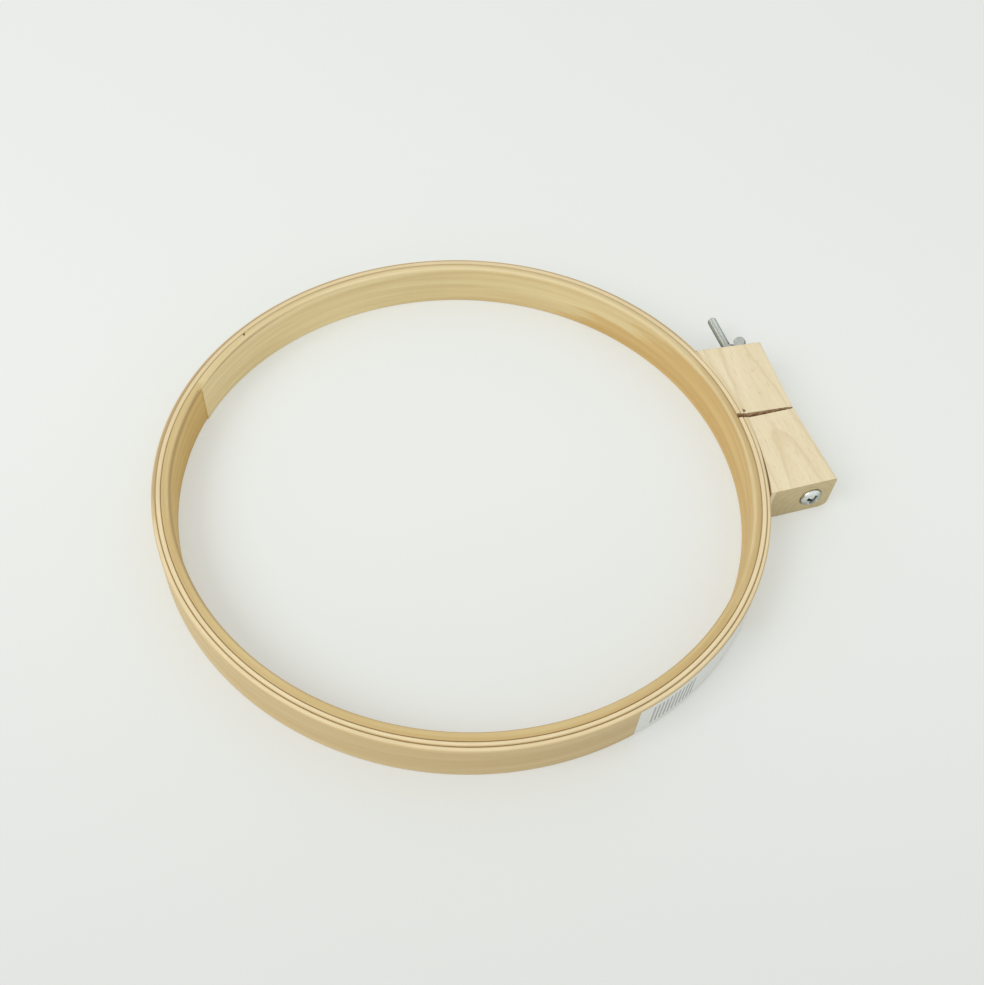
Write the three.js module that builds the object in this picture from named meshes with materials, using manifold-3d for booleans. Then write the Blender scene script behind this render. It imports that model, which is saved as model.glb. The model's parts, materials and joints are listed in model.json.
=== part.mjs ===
// Embroidery hoop. A plain inner ring sits inside a split outer ring of two glued plies. A block
// is glued and nailed outside the split and sawn in two with it, and a long screw with a wing
// nut draws the two halves together, which tightens the outer ring on the cloth.
// Millimetres, +Z up. The hoop lies flat on z = 0, the split faces +X and the screw runs along
// +Y, leaning a little, with its head at the near end. The origin is the middle of the footprint.
import * as THREE from "three";
import { mergeVertices } from "three/addons/utils/BufferGeometryUtils.js";
import Module from "manifold-3d";

const wasm = await Module();
wasm.setup();

// Rings
const RING_HEIGHT = 18.5;
const INNER_RING_RADIUS = 114.8; // outside of the inner ring, nominally nine inches across
const INNER_RING_THICKNESS = 2.9;
const RUNNING_GAP = 0.3; // inner ring to outer ring with the nut tight
const INNER_PLY_THICKNESS = 2;
const OUTER_PLY_THICKNESS = 1.75;
const PLY_GAP = 0.15; // the glue line between the two plies
const OUTER_PLY_STEP = 0.5; // the outer ply's top lies this much lower
const INNER_RING_ROUNDING = 0.8;
const INNER_PLY_ROUNDING = 0.7;
const OUTER_PLY_ROUNDING = 0.6;
const FLEX_GAP = 0.3; // between the halves of the outer ring, opposite the split

// Block
const BLOCK_LENGTH = 76.2;
const BLOCK_HEIGHT = 17.5; // a little lower than the ring
const BLOCK_REACH = 21.4; // outer wall of the ring to the block's outer face, at the split
const SPLIT_AT_RING = 2; // the two halves lean together, so the split narrows outwards
const SPLIT_AT_FACE = 0.5;
const SEAT_GAP = 0.3; // a glued or screwed piece to the one that carries it

// Screw, washer and wing nut
const SCREW_DIAMETER = 4;
const SCREW_LENGTH = 101.6; // under the head, four inches
const SCREW_INSET = 8; // screw axis at its head to the block's outer face
const SCREW_LEAN = 0.65; // degrees that the screw's tip leans towards the ring
const SCREW_TIP_CHAMFER = 0.6;
const HEAD_DIAMETER = 9.2;
const HEAD_HEIGHT = 2.6;
const HEAD_RIM = 0.7; // straight side of the head below its dome
const HEAD_SINK = 0.5; // how far the head has pulled into the wood
const RECESS_SPAN = 5;
const RECESS_WIDTH = 1.1;
const RECESS_DEPTH = 1.6;
const NEAR_HOLE_CLEARANCE = 0.4; // on the radius
const FAR_HOLE_CLEARANCE = 1.2; // wide, so that the far half can swing open on the screw
const WASHER_DIAMETER = 12;
const WASHER_THICKNESS = 1;
const THREAD_CLEARANCE = 0.1;
const HUB_BASE_DIAMETER = 8;
const HUB_TOP_DIAMETER = 6.6;
const HUB_LENGTH = 4.2;
const WING_REACH = 8.4; // screw axis to the end of a wing
const WING_TIP_RADIUS = 2.7;
const WING_RISE = 3.8; // nut's seat to the middle of a wing tip
const WING_THICKNESS = 1.9;
const WING_FOOT = 0.7; // nut's seat to the foot of a wing
const WING_TURN = 55; // degrees that the wings lean from upright

// Brads
const BRAD_DIAMETER = 1.2;
const BRAD_LENGTH = 14;
const BRAD_HEAD_DIAMETER = 2.4;
const BRAD_HEAD_THICKNESS = 0.5;
const BRAD_CLEARANCE = 0.12;
const BRAD_SPACING = 14; // along the split outer ring
const BRAD_FROM_SPLIT = 9;

// Label
const LABEL_LENGTH = 63;
const LABEL_HEIGHT = 16.5;
const LABEL_THICKNESS = 0.15;
const LABEL_START = 15; // degrees past the ring's nearest point, towards the block

// Facets
const RING_STEPS = 72;
const ROUND_STEPS = 24;
const BRAD_STEPS = 10;
const CORNER_STEPS = 2;
const WELD = 1e-4;

// Sizes that follow
const INNER_PLY_INSIDE = INNER_RING_RADIUS + RUNNING_GAP;
const INNER_PLY_OUTSIDE = INNER_PLY_INSIDE + INNER_PLY_THICKNESS;
const OUTER_PLY_INSIDE = INNER_PLY_OUTSIDE + PLY_GAP;
const RING_RADIUS = OUTER_PLY_INSIDE + OUTER_PLY_THICKNESS;
const FACE_X = RING_RADIUS + BLOCK_REACH;
const SCREW_X = FACE_X - SCREW_INSET;
const SCREW_Z = BLOCK_HEIGHT / 2;
const SCREW_RADIUS = SCREW_DIAMETER / 2;
const LEAN = Math.atan((SPLIT_AT_RING - SPLIT_AT_FACE) / 2 / BLOCK_REACH);
const HALF_LENGTH = (BLOCK_LENGTH - SPLIT_AT_FACE) / 2;
const END_CORNER = new THREE.Vector2(
  FACE_X + HALF_LENGTH * Math.sin(LEAN),
  SPLIT_AT_FACE / 2 + HALF_LENGTH * Math.cos(LEAN),
);
// Along the screw, with zero halfway along the block: it crosses the near end face at -END_Y and
// the far one at FAR_END, which leans by END_LEAN across the washer.
const TIP_LEAN = THREE.MathUtils.degToRad(SCREW_LEAN);
const END_Y = END_CORNER.y + (END_CORNER.x - SCREW_X) * Math.tan(LEAN);
const BETWEEN_ENDS = (2 * END_Y) / (1 - Math.tan(LEAN) * Math.tan(TIP_LEAN)) / Math.cos(TIP_LEAN);
const FAR_END = BETWEEN_ENDS - END_Y;
const END_LEAN = (WASHER_DIAMETER / 2) * Math.tan(LEAN + TIP_LEAN);
// The screw's own +Z as a line in the hoop. It leans about the middle of its head's seat.
const SCREW_LINE = new THREE.Matrix4()
  .makeTranslation(SCREW_X, -END_Y, SCREW_Z)
  .multiply(new THREE.Matrix4().makeRotationZ(TIP_LEAN))
  .multiply(new THREE.Matrix4().makeTranslation(0, END_Y, 0))
  .multiply(new THREE.Matrix4().makeRotationX(-Math.PI / 2));
const BEYOND = 2 * RING_RADIUS; // a length that is longer than anything a tool has to pass

const matt = (color) => new THREE.MeshStandardMaterial({ color, roughness: 0.6, metalness: 0 });
const metal = (color) => new THREE.MeshStandardMaterial({ color, roughness: 0.4, metalness: 1 });
const ringWood = matt(0xdcc696);
const plyWood = matt(0xd2b884);
const blockWood = matt(0xe4d6b2);
const zinc = metal(0xb4b7bb);
const castZinc = metal(0xa9aaac);
const paper = matt(0xf0f0ee);

// A closed geometry as a solid that can be cut and joined.
function solidOf(geometry) {
  const bare = new THREE.BufferGeometry();
  bare.setAttribute("position", geometry.getAttribute("position"));
  bare.setIndex(geometry.getIndex());
  const welded = mergeVertices(bare, WELD);
  return new wasm.Manifold(
    new wasm.Mesh({
      numProp: 3,
      vertProperties: welded.getAttribute("position").array,
      triVerts: new Uint32Array(welded.getIndex().array),
    }),
  );
}

// A solid back as a named mesh.
function piece(name, solid, material) {
  const cut = solid.getMesh();
  const geometry = new THREE.BufferGeometry();
  geometry.setAttribute("position", new THREE.BufferAttribute(cut.vertProperties, 3));
  geometry.setIndex(new THREE.BufferAttribute(cut.triVerts, 1));
  const mesh = new THREE.Mesh(geometry, material);
  mesh.name = name;
  return mesh;
}

// A ring about +Z whose section is a bar with round corners.
function ring(inside, outside, bottom, top, rounding) {
  const quarter = Math.PI / 2;
  const bar = new THREE.Path();
  bar.absarc(outside - rounding, bottom + rounding, rounding, -quarter, 0);
  bar.absarc(outside - rounding, top - rounding, rounding, 0, quarter);
  bar.absarc(inside + rounding, top - rounding, rounding, quarter, 2 * quarter);
  bar.absarc(inside + rounding, bottom + rounding, rounding, 2 * quarter, 3 * quarter);
  const section = bar.getPoints(CORNER_STEPS / 2); // an arc takes two steps a division
  section.push(section[0].clone());
  return solidOf(new THREE.LatheGeometry(section, RING_STEPS).rotateX(quarter));
}

// A flat outline as a plate from one height to another.
function plate(corners, bottom, top) {
  const shape = new THREE.Shape(corners);
  const geometry = new THREE.ExtrudeGeometry(shape, { depth: top - bottom, bevelEnabled: false });
  return solidOf(geometry.translate(0, 0, bottom));
}

// A turned profile about +Z, given as radius and height.
function turned(profile, steps = ROUND_STEPS) {
  const points = profile.map(([radius, height]) => new THREE.Vector2(radius, height));
  return solidOf(new THREE.LatheGeometry(points, steps).rotateX(Math.PI / 2));
}

// A round rod about the screw's axis.
function rodOnScrew(radius, from, to) {
  const rod = new THREE.CylinderGeometry(radius, radius, to - from, ROUND_STEPS);
  rod.rotateX(Math.PI / 2).translate(0, 0, (from + to) / 2);
  return solidOf(rod.applyMatrix4(SCREW_LINE));
}

// All that lies on one side, +Y or -Y, of the split and of the flex line opposite it.
function sideOfSplit(side) {
  const slab = new THREE.BoxGeometry(2 * BEYOND, BEYOND, 2 * BEYOND);
  const half = solidOf(slab.translate(0, (side * (BEYOND + FLEX_GAP)) / 2, 0));
  const start = INNER_RING_RADIUS - INNER_RING_THICKNESS;
  const halfWidth = SPLIT_AT_FACE / 2 + (FACE_X - start) * Math.tan(LEAN);
  const kerf = [
    new THREE.Vector2(start, -halfWidth),
    new THREE.Vector2(FACE_X, -SPLIT_AT_FACE / 2),
    new THREE.Vector2(FACE_X, SPLIT_AT_FACE / 2),
    new THREE.Vector2(start, halfWidth),
  ];
  return half.subtract(plate(kerf, -BEYOND, BEYOND));
}

// Half of the block: a bar that leans in towards the split, hollowed to sit on the ring.
function blockHalf(side) {
  const along = new THREE.Vector2(Math.sin(LEAN), Math.cos(LEAN)).multiplyScalar(HALF_LENGTH);
  const inwards = new THREE.Vector2(-Math.cos(LEAN), Math.sin(LEAN)).multiplyScalar(RING_RADIUS / 2);
  const start = new THREE.Vector2(FACE_X, SPLIT_AT_FACE / 2);
  const corners = [
    start,
    start.clone().add(along),
    start.clone().add(along).add(inwards),
    start.clone().add(inwards),
  ];
  for (const corner of corners) corner.y *= side;
  const seatRadius = RING_RADIUS + SEAT_GAP;
  const seat = new THREE.CylinderGeometry(seatRadius, seatRadius, BEYOND, RING_STEPS);
  return plate(corners, 0, BLOCK_HEIGHT).subtract(solidOf(seat.rotateX(Math.PI / 2)));
}

// A brad that points along +Z from its head, or with an allowance the hole that it sits in.
function brad(allowance = 0, lead = 0) {
  const headRadius = BRAD_HEAD_DIAMETER / 2 + allowance;
  const shankRadius = BRAD_DIAMETER / 2 + allowance;
  const profile = [
    [0, -lead],
    [headRadius, -lead],
    [headRadius, BRAD_HEAD_THICKNESS + allowance],
    [shankRadius, BRAD_HEAD_THICKNESS + allowance],
    [shankRadius, BRAD_LENGTH - BRAD_DIAMETER],
    [0, BRAD_LENGTH + allowance],
  ];
  return turned(profile, BRAD_STEPS);
}

// Where the brads of one half go: outwards from the inside of the outer ring, one above and
// one below the screw's hole.
function bradPlaces(side) {
  const room = SCREW_Z - SCREW_RADIUS - FAR_HOLE_CLEARANCE;
  return [room / 2, BLOCK_HEIGHT - room / 2].map((height, i) => {
    const angle = (side * (BRAD_FROM_SPLIT + i * BRAD_SPACING)) / INNER_PLY_INSIDE;
    return new THREE.Matrix4()
      .makeRotationZ(angle)
      .multiply(new THREE.Matrix4().makeTranslation(INNER_PLY_INSIDE + BRAD_CLEARANCE, 0, height))
      .multiply(new THREE.Matrix4().makeRotationY(Math.PI / 2));
  });
}

// The wood of one half of the outer ring: two plies and the half block, drilled and nailed.
function outerHalf(name, side, drill) {
  const half = new THREE.Group();
  const kept = sideOfSplit(side);
  const places = bradPlaces(side);
  const holes = places.map((place) => brad(BRAD_CLEARANCE, BRAD_HEAD_DIAMETER).transform(place.elements));
  const drilled = (solid) => holes.reduce((left, hole) => left.subtract(hole), solid);
  const innerPly = ring(INNER_PLY_INSIDE, INNER_PLY_OUTSIDE, 0, RING_HEIGHT, INNER_PLY_ROUNDING);
  const outerPlyTop = RING_HEIGHT - OUTER_PLY_STEP;
  const outerPly = ring(OUTER_PLY_INSIDE, RING_RADIUS, 0, outerPlyTop, OUTER_PLY_ROUNDING);
  half.add(piece(`inner_ply_${name}`, drilled(innerPly.intersect(kept)), plyWood));
  half.add(piece(`outer_ply_${name}`, drilled(outerPly.intersect(kept)), ringWood));
  half.add(piece(`block_${name}`, drilled(blockHalf(side).subtract(drill)), blockWood));
  places.forEach((place, i) => {
    const nail = piece(`brad_${name}_${i + 1}`, brad(), zinc);
    nail.applyMatrix4(place);
    half.add(nail);
  });
  return half;
}

// The inner ring: one strip, its ends scarfed together into a plain ring.
function innerRing() {
  const inside = INNER_RING_RADIUS - INNER_RING_THICKNESS;
  const solid = ring(inside, INNER_RING_RADIUS, 0, RING_HEIGHT, INNER_RING_ROUNDING);
  return piece("inner_ring", solid, ringWood);
}

// The screw: a low domed head with a cross recess, then the shank, along +Z.
const UNDER_HEAD = HEAD_SINK - END_Y;
function clampScrew() {
  const headRadius = HEAD_DIAMETER / 2;
  const domeFoot = UNDER_HEAD - HEAD_RIM;
  const domeHeight = HEAD_HEIGHT - HEAD_RIM;
  const domeSteps = 5;
  const profile = [];
  for (let i = 0; i <= domeSteps; i++) {
    const angle = (i / domeSteps) * (Math.PI / 2);
    profile.push([headRadius * Math.sin(angle), domeFoot - domeHeight * Math.cos(angle)]);
  }
  const tip = UNDER_HEAD + SCREW_LENGTH;
  profile.push([headRadius, UNDER_HEAD]);
  profile.push([SCREW_RADIUS, UNDER_HEAD]);
  profile.push([SCREW_RADIUS, tip - SCREW_TIP_CHAMFER]);
  profile.push([SCREW_RADIUS - SCREW_TIP_CHAMFER, tip]);
  profile.push([0, tip]);
  let solid = turned(profile);
  for (const turn of [0, Math.PI / 2]) {
    const slot = new THREE.BoxGeometry(RECESS_SPAN, RECESS_WIDTH, 2 * RECESS_DEPTH);
    slot.rotateZ(turn).translate(0, 0, UNDER_HEAD - HEAD_HEIGHT);
    solid = solid.subtract(solidOf(slot));
  }
  return piece("clamp_screw", solid, zinc);
}

// The washer lies on the far end face, which leans a little under it.
const WASHER_SEAT = FAR_END + END_LEAN + SEAT_GAP;
function flatWasher() {
  const inside = SCREW_RADIUS + NEAR_HOLE_CLEARANCE;
  const outside = WASHER_DIAMETER / 2;
  const profile = [
    [inside, 0],
    [outside, 0],
    [outside, WASHER_THICKNESS],
    [inside, WASHER_THICKNESS],
    [inside, 0],
  ];
  const washer = piece("flat_washer", turned(profile), zinc);
  washer.position.z = WASHER_SEAT;
  return washer;
}

// The wing nut: a tapered hub with two round-tipped wings.
function wingNut() {
  const hub = turned([
    [0, 0],
    [HUB_BASE_DIAMETER / 2, 0],
    [HUB_TOP_DIAMETER / 2, HUB_LENGTH],
    [0, HUB_LENGTH],
  ]);
  const outline = new THREE.Shape();
  outline.moveTo(0, WING_FOOT);
  outline.lineTo(HUB_BASE_DIAMETER / 2, WING_FOOT);
  const tip = WING_REACH - WING_TIP_RADIUS;
  outline.absarc(tip, WING_RISE, WING_TIP_RADIUS, -Math.PI / 3, (3 * Math.PI) / 4);
  outline.lineTo(HUB_TOP_DIAMETER / 2, (WING_FOOT + HUB_LENGTH) / 2);
  outline.lineTo(0, (WING_FOOT + HUB_LENGTH) / 2);
  const wing = new THREE.ExtrudeGeometry(outline, {
    depth: WING_THICKNESS,
    curveSegments: ROUND_STEPS / 2,
    bevelEnabled: false,
  });
  wing.translate(0, 0, -WING_THICKNESS / 2).rotateX(Math.PI / 2);
  const otherWing = wing.clone().rotateZ(Math.PI);
  // The bore's flats, not its corners, keep the clearance to the thread.
  const boreRadius = (SCREW_RADIUS + THREAD_CLEARANCE) / Math.cos(Math.PI / ROUND_STEPS);
  const bore = new THREE.CylinderGeometry(boreRadius, boreRadius, 4 * HUB_LENGTH, ROUND_STEPS);
  const solid = hub
    .add(solidOf(wing))
    .add(solidOf(otherWing))
    .subtract(solidOf(bore.rotateX(Math.PI / 2)));
  const nut = piece("wing_nut", solid, castZinc);
  nut.position.z = WASHER_SEAT + WASHER_THICKNESS + SEAT_GAP;
  nut.rotation.z = THREE.MathUtils.degToRad(WING_TURN - 90);
  return nut;
}

// The paper label, on the outer wall halfway up the outer ply.
function paperLabel() {
  const inside = RING_RADIUS + SEAT_GAP;
  const outside = inside + LABEL_THICKNESS;
  const middle = (RING_HEIGHT - OUTER_PLY_STEP) / 2;
  const bottom = middle - LABEL_HEIGHT / 2;
  const top = middle + LABEL_HEIGHT / 2;
  const section = [
    [inside, bottom],
    [outside, bottom],
    [outside, top],
    [inside, top],
    [inside, bottom],
  ];
  const start = THREE.MathUtils.degToRad(LABEL_START - 90);
  const sector = [new THREE.Vector2(0, 0)];
  for (const angle of [start, start + LABEL_LENGTH / RING_RADIUS]) {
    sector.push(new THREE.Vector2(Math.cos(angle), Math.sin(angle)).multiplyScalar(BEYOND));
  }
  const shell = turned(section, RING_STEPS).intersect(plate(sector, 0, RING_HEIGHT));
  return piece("paper_label", shell, paper);
}

const hoop = new THREE.Group();
hoop.add(innerRing());

const shankHole = rodOnScrew(SCREW_RADIUS + NEAR_HOLE_CLEARANCE, -BEYOND, 0);
const headPocket = rodOnScrew(HEAD_DIAMETER / 2 + SEAT_GAP, -BEYOND, UNDER_HEAD + SEAT_GAP);
hoop.add(outerHalf("near", -1, shankHole.add(headPocket)));
hoop.add(outerHalf("far", 1, rodOnScrew(SCREW_RADIUS + FAR_HOLE_CLEARANCE, 0, BEYOND)));
hoop.add(paperLabel());

// The screw, washer and nut lie along one axis, their own +Z turned close to the hoop's +Y.
const onScrew = new THREE.Group();
onScrew.add(clampScrew(), flatWasher(), wingNut());
onScrew.applyMatrix4(SCREW_LINE);
hoop.add(onScrew);

// The origin is the middle of the footprint: the ring reaches furthest at -X, the block at +X.
hoop.position.x = (RING_RADIUS - END_CORNER.x) / 2;
export default hoop;
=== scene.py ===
# %% [markdown]
# # An embroidery hoop, built in cells
# A hoop is two rings of bent wood. Cloth is laid over the inner ring, the outer ring is pushed
# down round it, and a screw through the block on the outside draws the outer ring tight. The
# measured solids come first, as a fixed frame. Every later cell makes one piece or one finish
# round them, and prints what it made.

# %% Load the measured frame
import bpy
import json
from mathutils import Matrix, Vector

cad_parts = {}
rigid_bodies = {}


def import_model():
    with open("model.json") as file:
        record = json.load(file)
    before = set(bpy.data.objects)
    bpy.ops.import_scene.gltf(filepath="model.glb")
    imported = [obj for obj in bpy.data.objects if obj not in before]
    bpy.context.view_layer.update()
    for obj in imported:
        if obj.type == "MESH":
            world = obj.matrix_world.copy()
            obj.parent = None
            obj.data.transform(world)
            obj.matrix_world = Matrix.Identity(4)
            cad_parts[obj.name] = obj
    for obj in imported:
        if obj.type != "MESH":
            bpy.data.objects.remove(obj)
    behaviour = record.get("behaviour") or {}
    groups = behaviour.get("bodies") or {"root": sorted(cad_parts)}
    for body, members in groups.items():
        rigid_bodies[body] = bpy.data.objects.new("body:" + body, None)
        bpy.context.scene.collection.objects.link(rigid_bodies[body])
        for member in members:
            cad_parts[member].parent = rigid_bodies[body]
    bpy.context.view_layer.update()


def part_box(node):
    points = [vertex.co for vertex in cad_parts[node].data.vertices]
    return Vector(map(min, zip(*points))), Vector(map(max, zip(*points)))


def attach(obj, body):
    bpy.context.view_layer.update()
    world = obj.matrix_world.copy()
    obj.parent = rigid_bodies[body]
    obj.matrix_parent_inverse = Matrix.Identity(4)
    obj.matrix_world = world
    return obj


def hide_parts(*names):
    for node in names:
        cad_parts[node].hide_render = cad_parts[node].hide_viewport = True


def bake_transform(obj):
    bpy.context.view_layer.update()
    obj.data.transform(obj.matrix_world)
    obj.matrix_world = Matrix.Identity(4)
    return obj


for left_over in list(bpy.data.objects):
    bpy.data.objects.remove(left_over)
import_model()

# %% Load the other helpers
import json
import math

import bmesh
import numpy as np
from mathutils import Matrix, Vector, noise

# %% [markdown]
# ## Sizes of the rings
# The main sizes are read from the solids, so a change to the frame reaches the pieces by itself.
# The solids stand a little apart, because a checker needs room between them. On the real hoop
# the strips touch, so their thicknesses are named here and count inwards from the outer wall.
# Blender works in metres, and a millimetre is written as `MM`.

# %% Sizes of the rings
MM = 0.001
ring_low, ring_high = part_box("inner_ring")
hoop_low, hoop_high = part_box("outer_ply_near")
RING_X = (ring_low.x + ring_high.x) / 2
RING_TOP = ring_high.z
HOOP_OUTSIDE = -hoop_low.y
HOOP_TOP = hoop_high.z
OUTER_PLY, INNER_PLY, INNER_RING = 1.65 * MM, 1.98 * MM, 3.5 * MM  # how thick the strips are
PLY_GLUE, SLIP = 0.02 * MM, 0.05 * MM  # between the plies, and round the inner ring
HOOP_INSIDE = HOOP_OUTSIDE - OUTER_PLY
PLY_OUTSIDE = HOOP_INSIDE - PLY_GLUE
PLY_INSIDE = PLY_OUTSIDE - INNER_PLY
INNER_OUTSIDE = PLY_INSIDE - SLIP
INNER_INSIDE = INNER_OUTSIDE - INNER_RING
print(f"hoop {2 * HOOP_OUTSIDE / MM:.1f} mm across, {RING_TOP / MM:.1f} mm deep")

# %% [markdown]
# ## Sizes of the block and the line of the screw
# A solid's box can't tell how the sawn block leans in towards its split, so those few sizes are
# named. The screw is not quite square to the block. All that sits on it is built along its own
# Y axis, from 0 where it meets the near end face, and `SCREW_LINE` puts that axis in place.

# %% Sizes of the block and the screw's line
BLOCK_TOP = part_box("block_near")[1].z
BLOCK_REACH = 21.4 * MM  # ring to outer face, at the split
BLOCK_HALF = 37.85 * MM
NEAR_LONGER = 0.6 * MM  # the near half was sawn a little longer
HALF_LENGTH = {-1: BLOCK_HALF + NEAR_LONGER, 1: BLOCK_HALF}  # near half and far half
FACE = HOOP_OUTSIDE + BLOCK_REACH
SPLIT_AT_RING = 2.0 * MM
SPLIT_AT_FACE = 0.5 * MM
LEAN = math.atan((SPLIT_AT_RING - SPLIT_AT_FACE) / 2 / BLOCK_REACH)

SCREW_INSET = 8 * MM
SCREW_LEAN = math.radians(0.65)


def end_face(length):
    """How far from the middle the screw's line leaves a half of this length."""
    corner_x = length * math.sin(LEAN)
    corner_y = SPLIT_AT_FACE / 2 + length * math.cos(LEAN)
    return corner_y + (corner_x + SCREW_INSET) * math.tan(LEAN)


END_Y = end_face(HALF_LENGTH[-1])
BETWEEN_ENDS = (END_Y + end_face(HALF_LENGTH[1])) / (1 - math.tan(LEAN) * math.tan(SCREW_LEAN))
head_place = Vector((RING_X + FACE - SCREW_INSET, -END_Y, BLOCK_TOP / 2))
SCREW_LINE = Matrix.Translation(head_place) @ Matrix.Rotation(SCREW_LEAN, 4, "Z")
print(f"block leans {math.degrees(LEAN):.2f} degrees each side of the split")
print(f"screw crosses {BETWEEN_ENDS / MM:.2f} mm of block")

# %% [markdown]
# ## The camera
# The photograph looks down at the hoop from the front. Three things make such a camera: where it
# stands, how far down it tilts and how far it rolls. They came from fitting the two rims of each
# ring, which are true circles and so show as ellipses, and the fit measures in radii of a ring.
# The hoop itself lies turned on the table, so the camera and the lamp are set up in the table's
# directions and then turned into the hoop's.

# %% Place the camera
HOOP_TURN = math.radians(19.9)  # how far the split points away from the camera's right
CAMERA_TILT = math.radians(52.735)
CAMERA_ROLL = math.radians(5.476)
FITTED_RADIUS = 0.119
CAMERA_PLACE = Vector((0.0943, -2.3066, 3.0529)) * FITTED_RADIUS
SENSOR, LENS = 36, 41.56  # in millimetres, as on a camera
NEAREST, FURTHEST = 0.02, 20  # how close and how far the camera sees, in metres
TABLE_TO_HOOP = Matrix.Translation((RING_X, 0, 0)) @ Matrix.Rotation(-HOOP_TURN, 4, "Z")

forward = Vector((0, math.cos(CAMERA_TILT), -math.sin(CAMERA_TILT)))
side = Vector((1, 0, 0))
upright = Matrix((side, side.cross(forward), -forward)).transposed()
rolled = upright @ Matrix.Rotation(CAMERA_ROLL, 3, "Z")
camera = bpy.data.objects.new("camera", bpy.data.cameras.new("camera"))
camera.data.sensor_width, camera.data.lens = SENSOR, LENS
camera.data.clip_start, camera.data.clip_end = NEAREST, FURTHEST
camera.matrix_world = TABLE_TO_HOOP @ (Matrix.Translation(CAMERA_PLACE) @ rolled.to_4x4())
bpy.context.collection.objects.link(camera)
bpy.context.scene.camera = camera
print("camera at", [round(x, 3) for x in camera.matrix_world.translation])

# %% [markdown]
# ## Nodes, the short way
# A shader is a graph, and a graph written out call by call hides its idea. `put` adds one node,
# sets its plain values and plugs other nodes' sockets into it. `sums`, `ramp` and `mix` do the
# same for a step of arithmetic, a smooth change and a blend of two colours. `parts` takes a
# vector apart, and `stored` reads what a mesh keeps on its points.

# %% Helpers that add a node
def plug(tree, socket, value):
    """Gives a socket a plain value, or joins it to another node's socket."""
    if isinstance(value, bpy.types.NodeSocket):
        tree.links.new(value, socket)
    else:
        socket.default_value = value


def put(tree, kind, inputs=None, **settings):
    """Adds a node. An input's value is a number, a colour, a vector or another node's socket."""
    made = tree.nodes.new(kind)
    for name, value in settings.items():
        setattr(made, name, value)
    for key, value in (inputs or {}).items():
        plug(tree, made.inputs[key], value)
    return made


def sums(tree, operation, *values):
    """One step of arithmetic on numbers or sockets."""
    return put(tree, "ShaderNodeMath", dict(enumerate(values)), operation=operation).outputs[0]


def ramp(tree, value, low, high, to_low=0.0, to_high=1.0):
    """Takes a value from low..high smoothly to to_low..to_high."""
    ends = {"Value": value, "From Min": low, "From Max": high, "To Min": to_low, "To Max": to_high}
    made = put(tree, "ShaderNodeMapRange", interpolation_type="SMOOTHSTEP")
    for name, number in ends.items():
        plug(tree, made.inputs[name], number)
    return made.outputs["Result"]


def mix(tree, share, one, other, blend_type="MIX"):
    """Blends two colours by a share from 0 to 1."""
    made = put(tree, "ShaderNodeMix", data_type="RGBA", blend_type=blend_type)
    for key, value in ((0, share), (6, one), (7, other)):
        plug(tree, made.inputs[key], value)
    return made.outputs[2]


def parts(tree, vector):
    """A vector's x, y and z."""
    return put(tree, "ShaderNodeSeparateXYZ", {0: vector}).outputs


def stored(tree, name, kind="Fac"):
    """What the mesh keeps under a name: Fac is a number, Vector a vector."""
    return put(tree, "ShaderNodeAttribute", attribute_name=name).outputs[kind]


print("node helpers ready")

# %% [markdown]
# ## Node groups and colours
# An effect that several materials share, such as grain, becomes a node group: built once, with
# named inputs, and placed in each material with that material's own values. Colours are written
# as a picture editor shows them, 0 to 255, and turned into the linear numbers that shaders take.

# %% Helpers for groups, empty materials and colours
def group(name, inputs, outputs):
    """A node group. Returns its tree, its input sockets and its output sockets."""
    tree = bpy.data.node_groups.new(name, "ShaderNodeTree")
    for label, kind, usual in inputs:
        socket = tree.interface.new_socket(label, in_out="INPUT", socket_type="NodeSocket" + kind)
        if usual is not None:
            socket.default_value = usual
    for label, kind in outputs:
        tree.interface.new_socket(label, in_out="OUTPUT", socket_type="NodeSocket" + kind)
    given, out = tree.nodes.new("NodeGroupInput"), tree.nodes.new("NodeGroupOutput")
    return tree, given.outputs, out.inputs


def use(tree, name, **inputs):
    """Places a group in a material with this material's own values."""
    made = put(tree, "ShaderNodeGroup", node_tree=bpy.data.node_groups[name])
    for label, value in inputs.items():
        plug(tree, made.inputs[label.replace("_", " ")], value)
    return made.outputs


def empty_material(name):
    """A material without any nodes, and its tree."""
    material = bpy.data.materials.new(name)
    material.use_nodes = True
    material.node_tree.nodes.clear()
    return material, material.node_tree


def colour(red, green, blue):
    """A colour in linear light, from levels of 0 to 255."""
    def linear(level):
        level /= 255
        return level / 12.92 if level <= 0.04045 else ((level + 0.055) / 1.055) ** 2.4
    return (linear(red), linear(green), linear(blue), 1.0)


print("mid grey is", round(colour(128, 128, 128)[0], 3), "in linear light")

# %% [markdown]
# ## Where the wood's grain runs
# The rings are strips bent along their grain, so a texture in straight x, y and z would cut
# across it. Each wooden mesh therefore carries its own grain coordinates on its points: how far
# along the strip, how high up, and how far through. Noise stretched along the first of them
# gives what long grain shows: broad streaks of tone, fine lines, and short dark pores.

# %% Group: long grain
NOISE_SPAN = 0.3, 0.7  # nearly all of a noise lies between these
LINE_SHARE, LINE_WIDTH, LINE_RISE = 0.3, 0.6 * MM, 0.6  # a fine line's length beside a streak's
PORE_LENGTH, PORE_WIDTH, PORE_SPAN = 3.5 * MM, 0.22 * MM, (0.64, 0.76)


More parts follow.
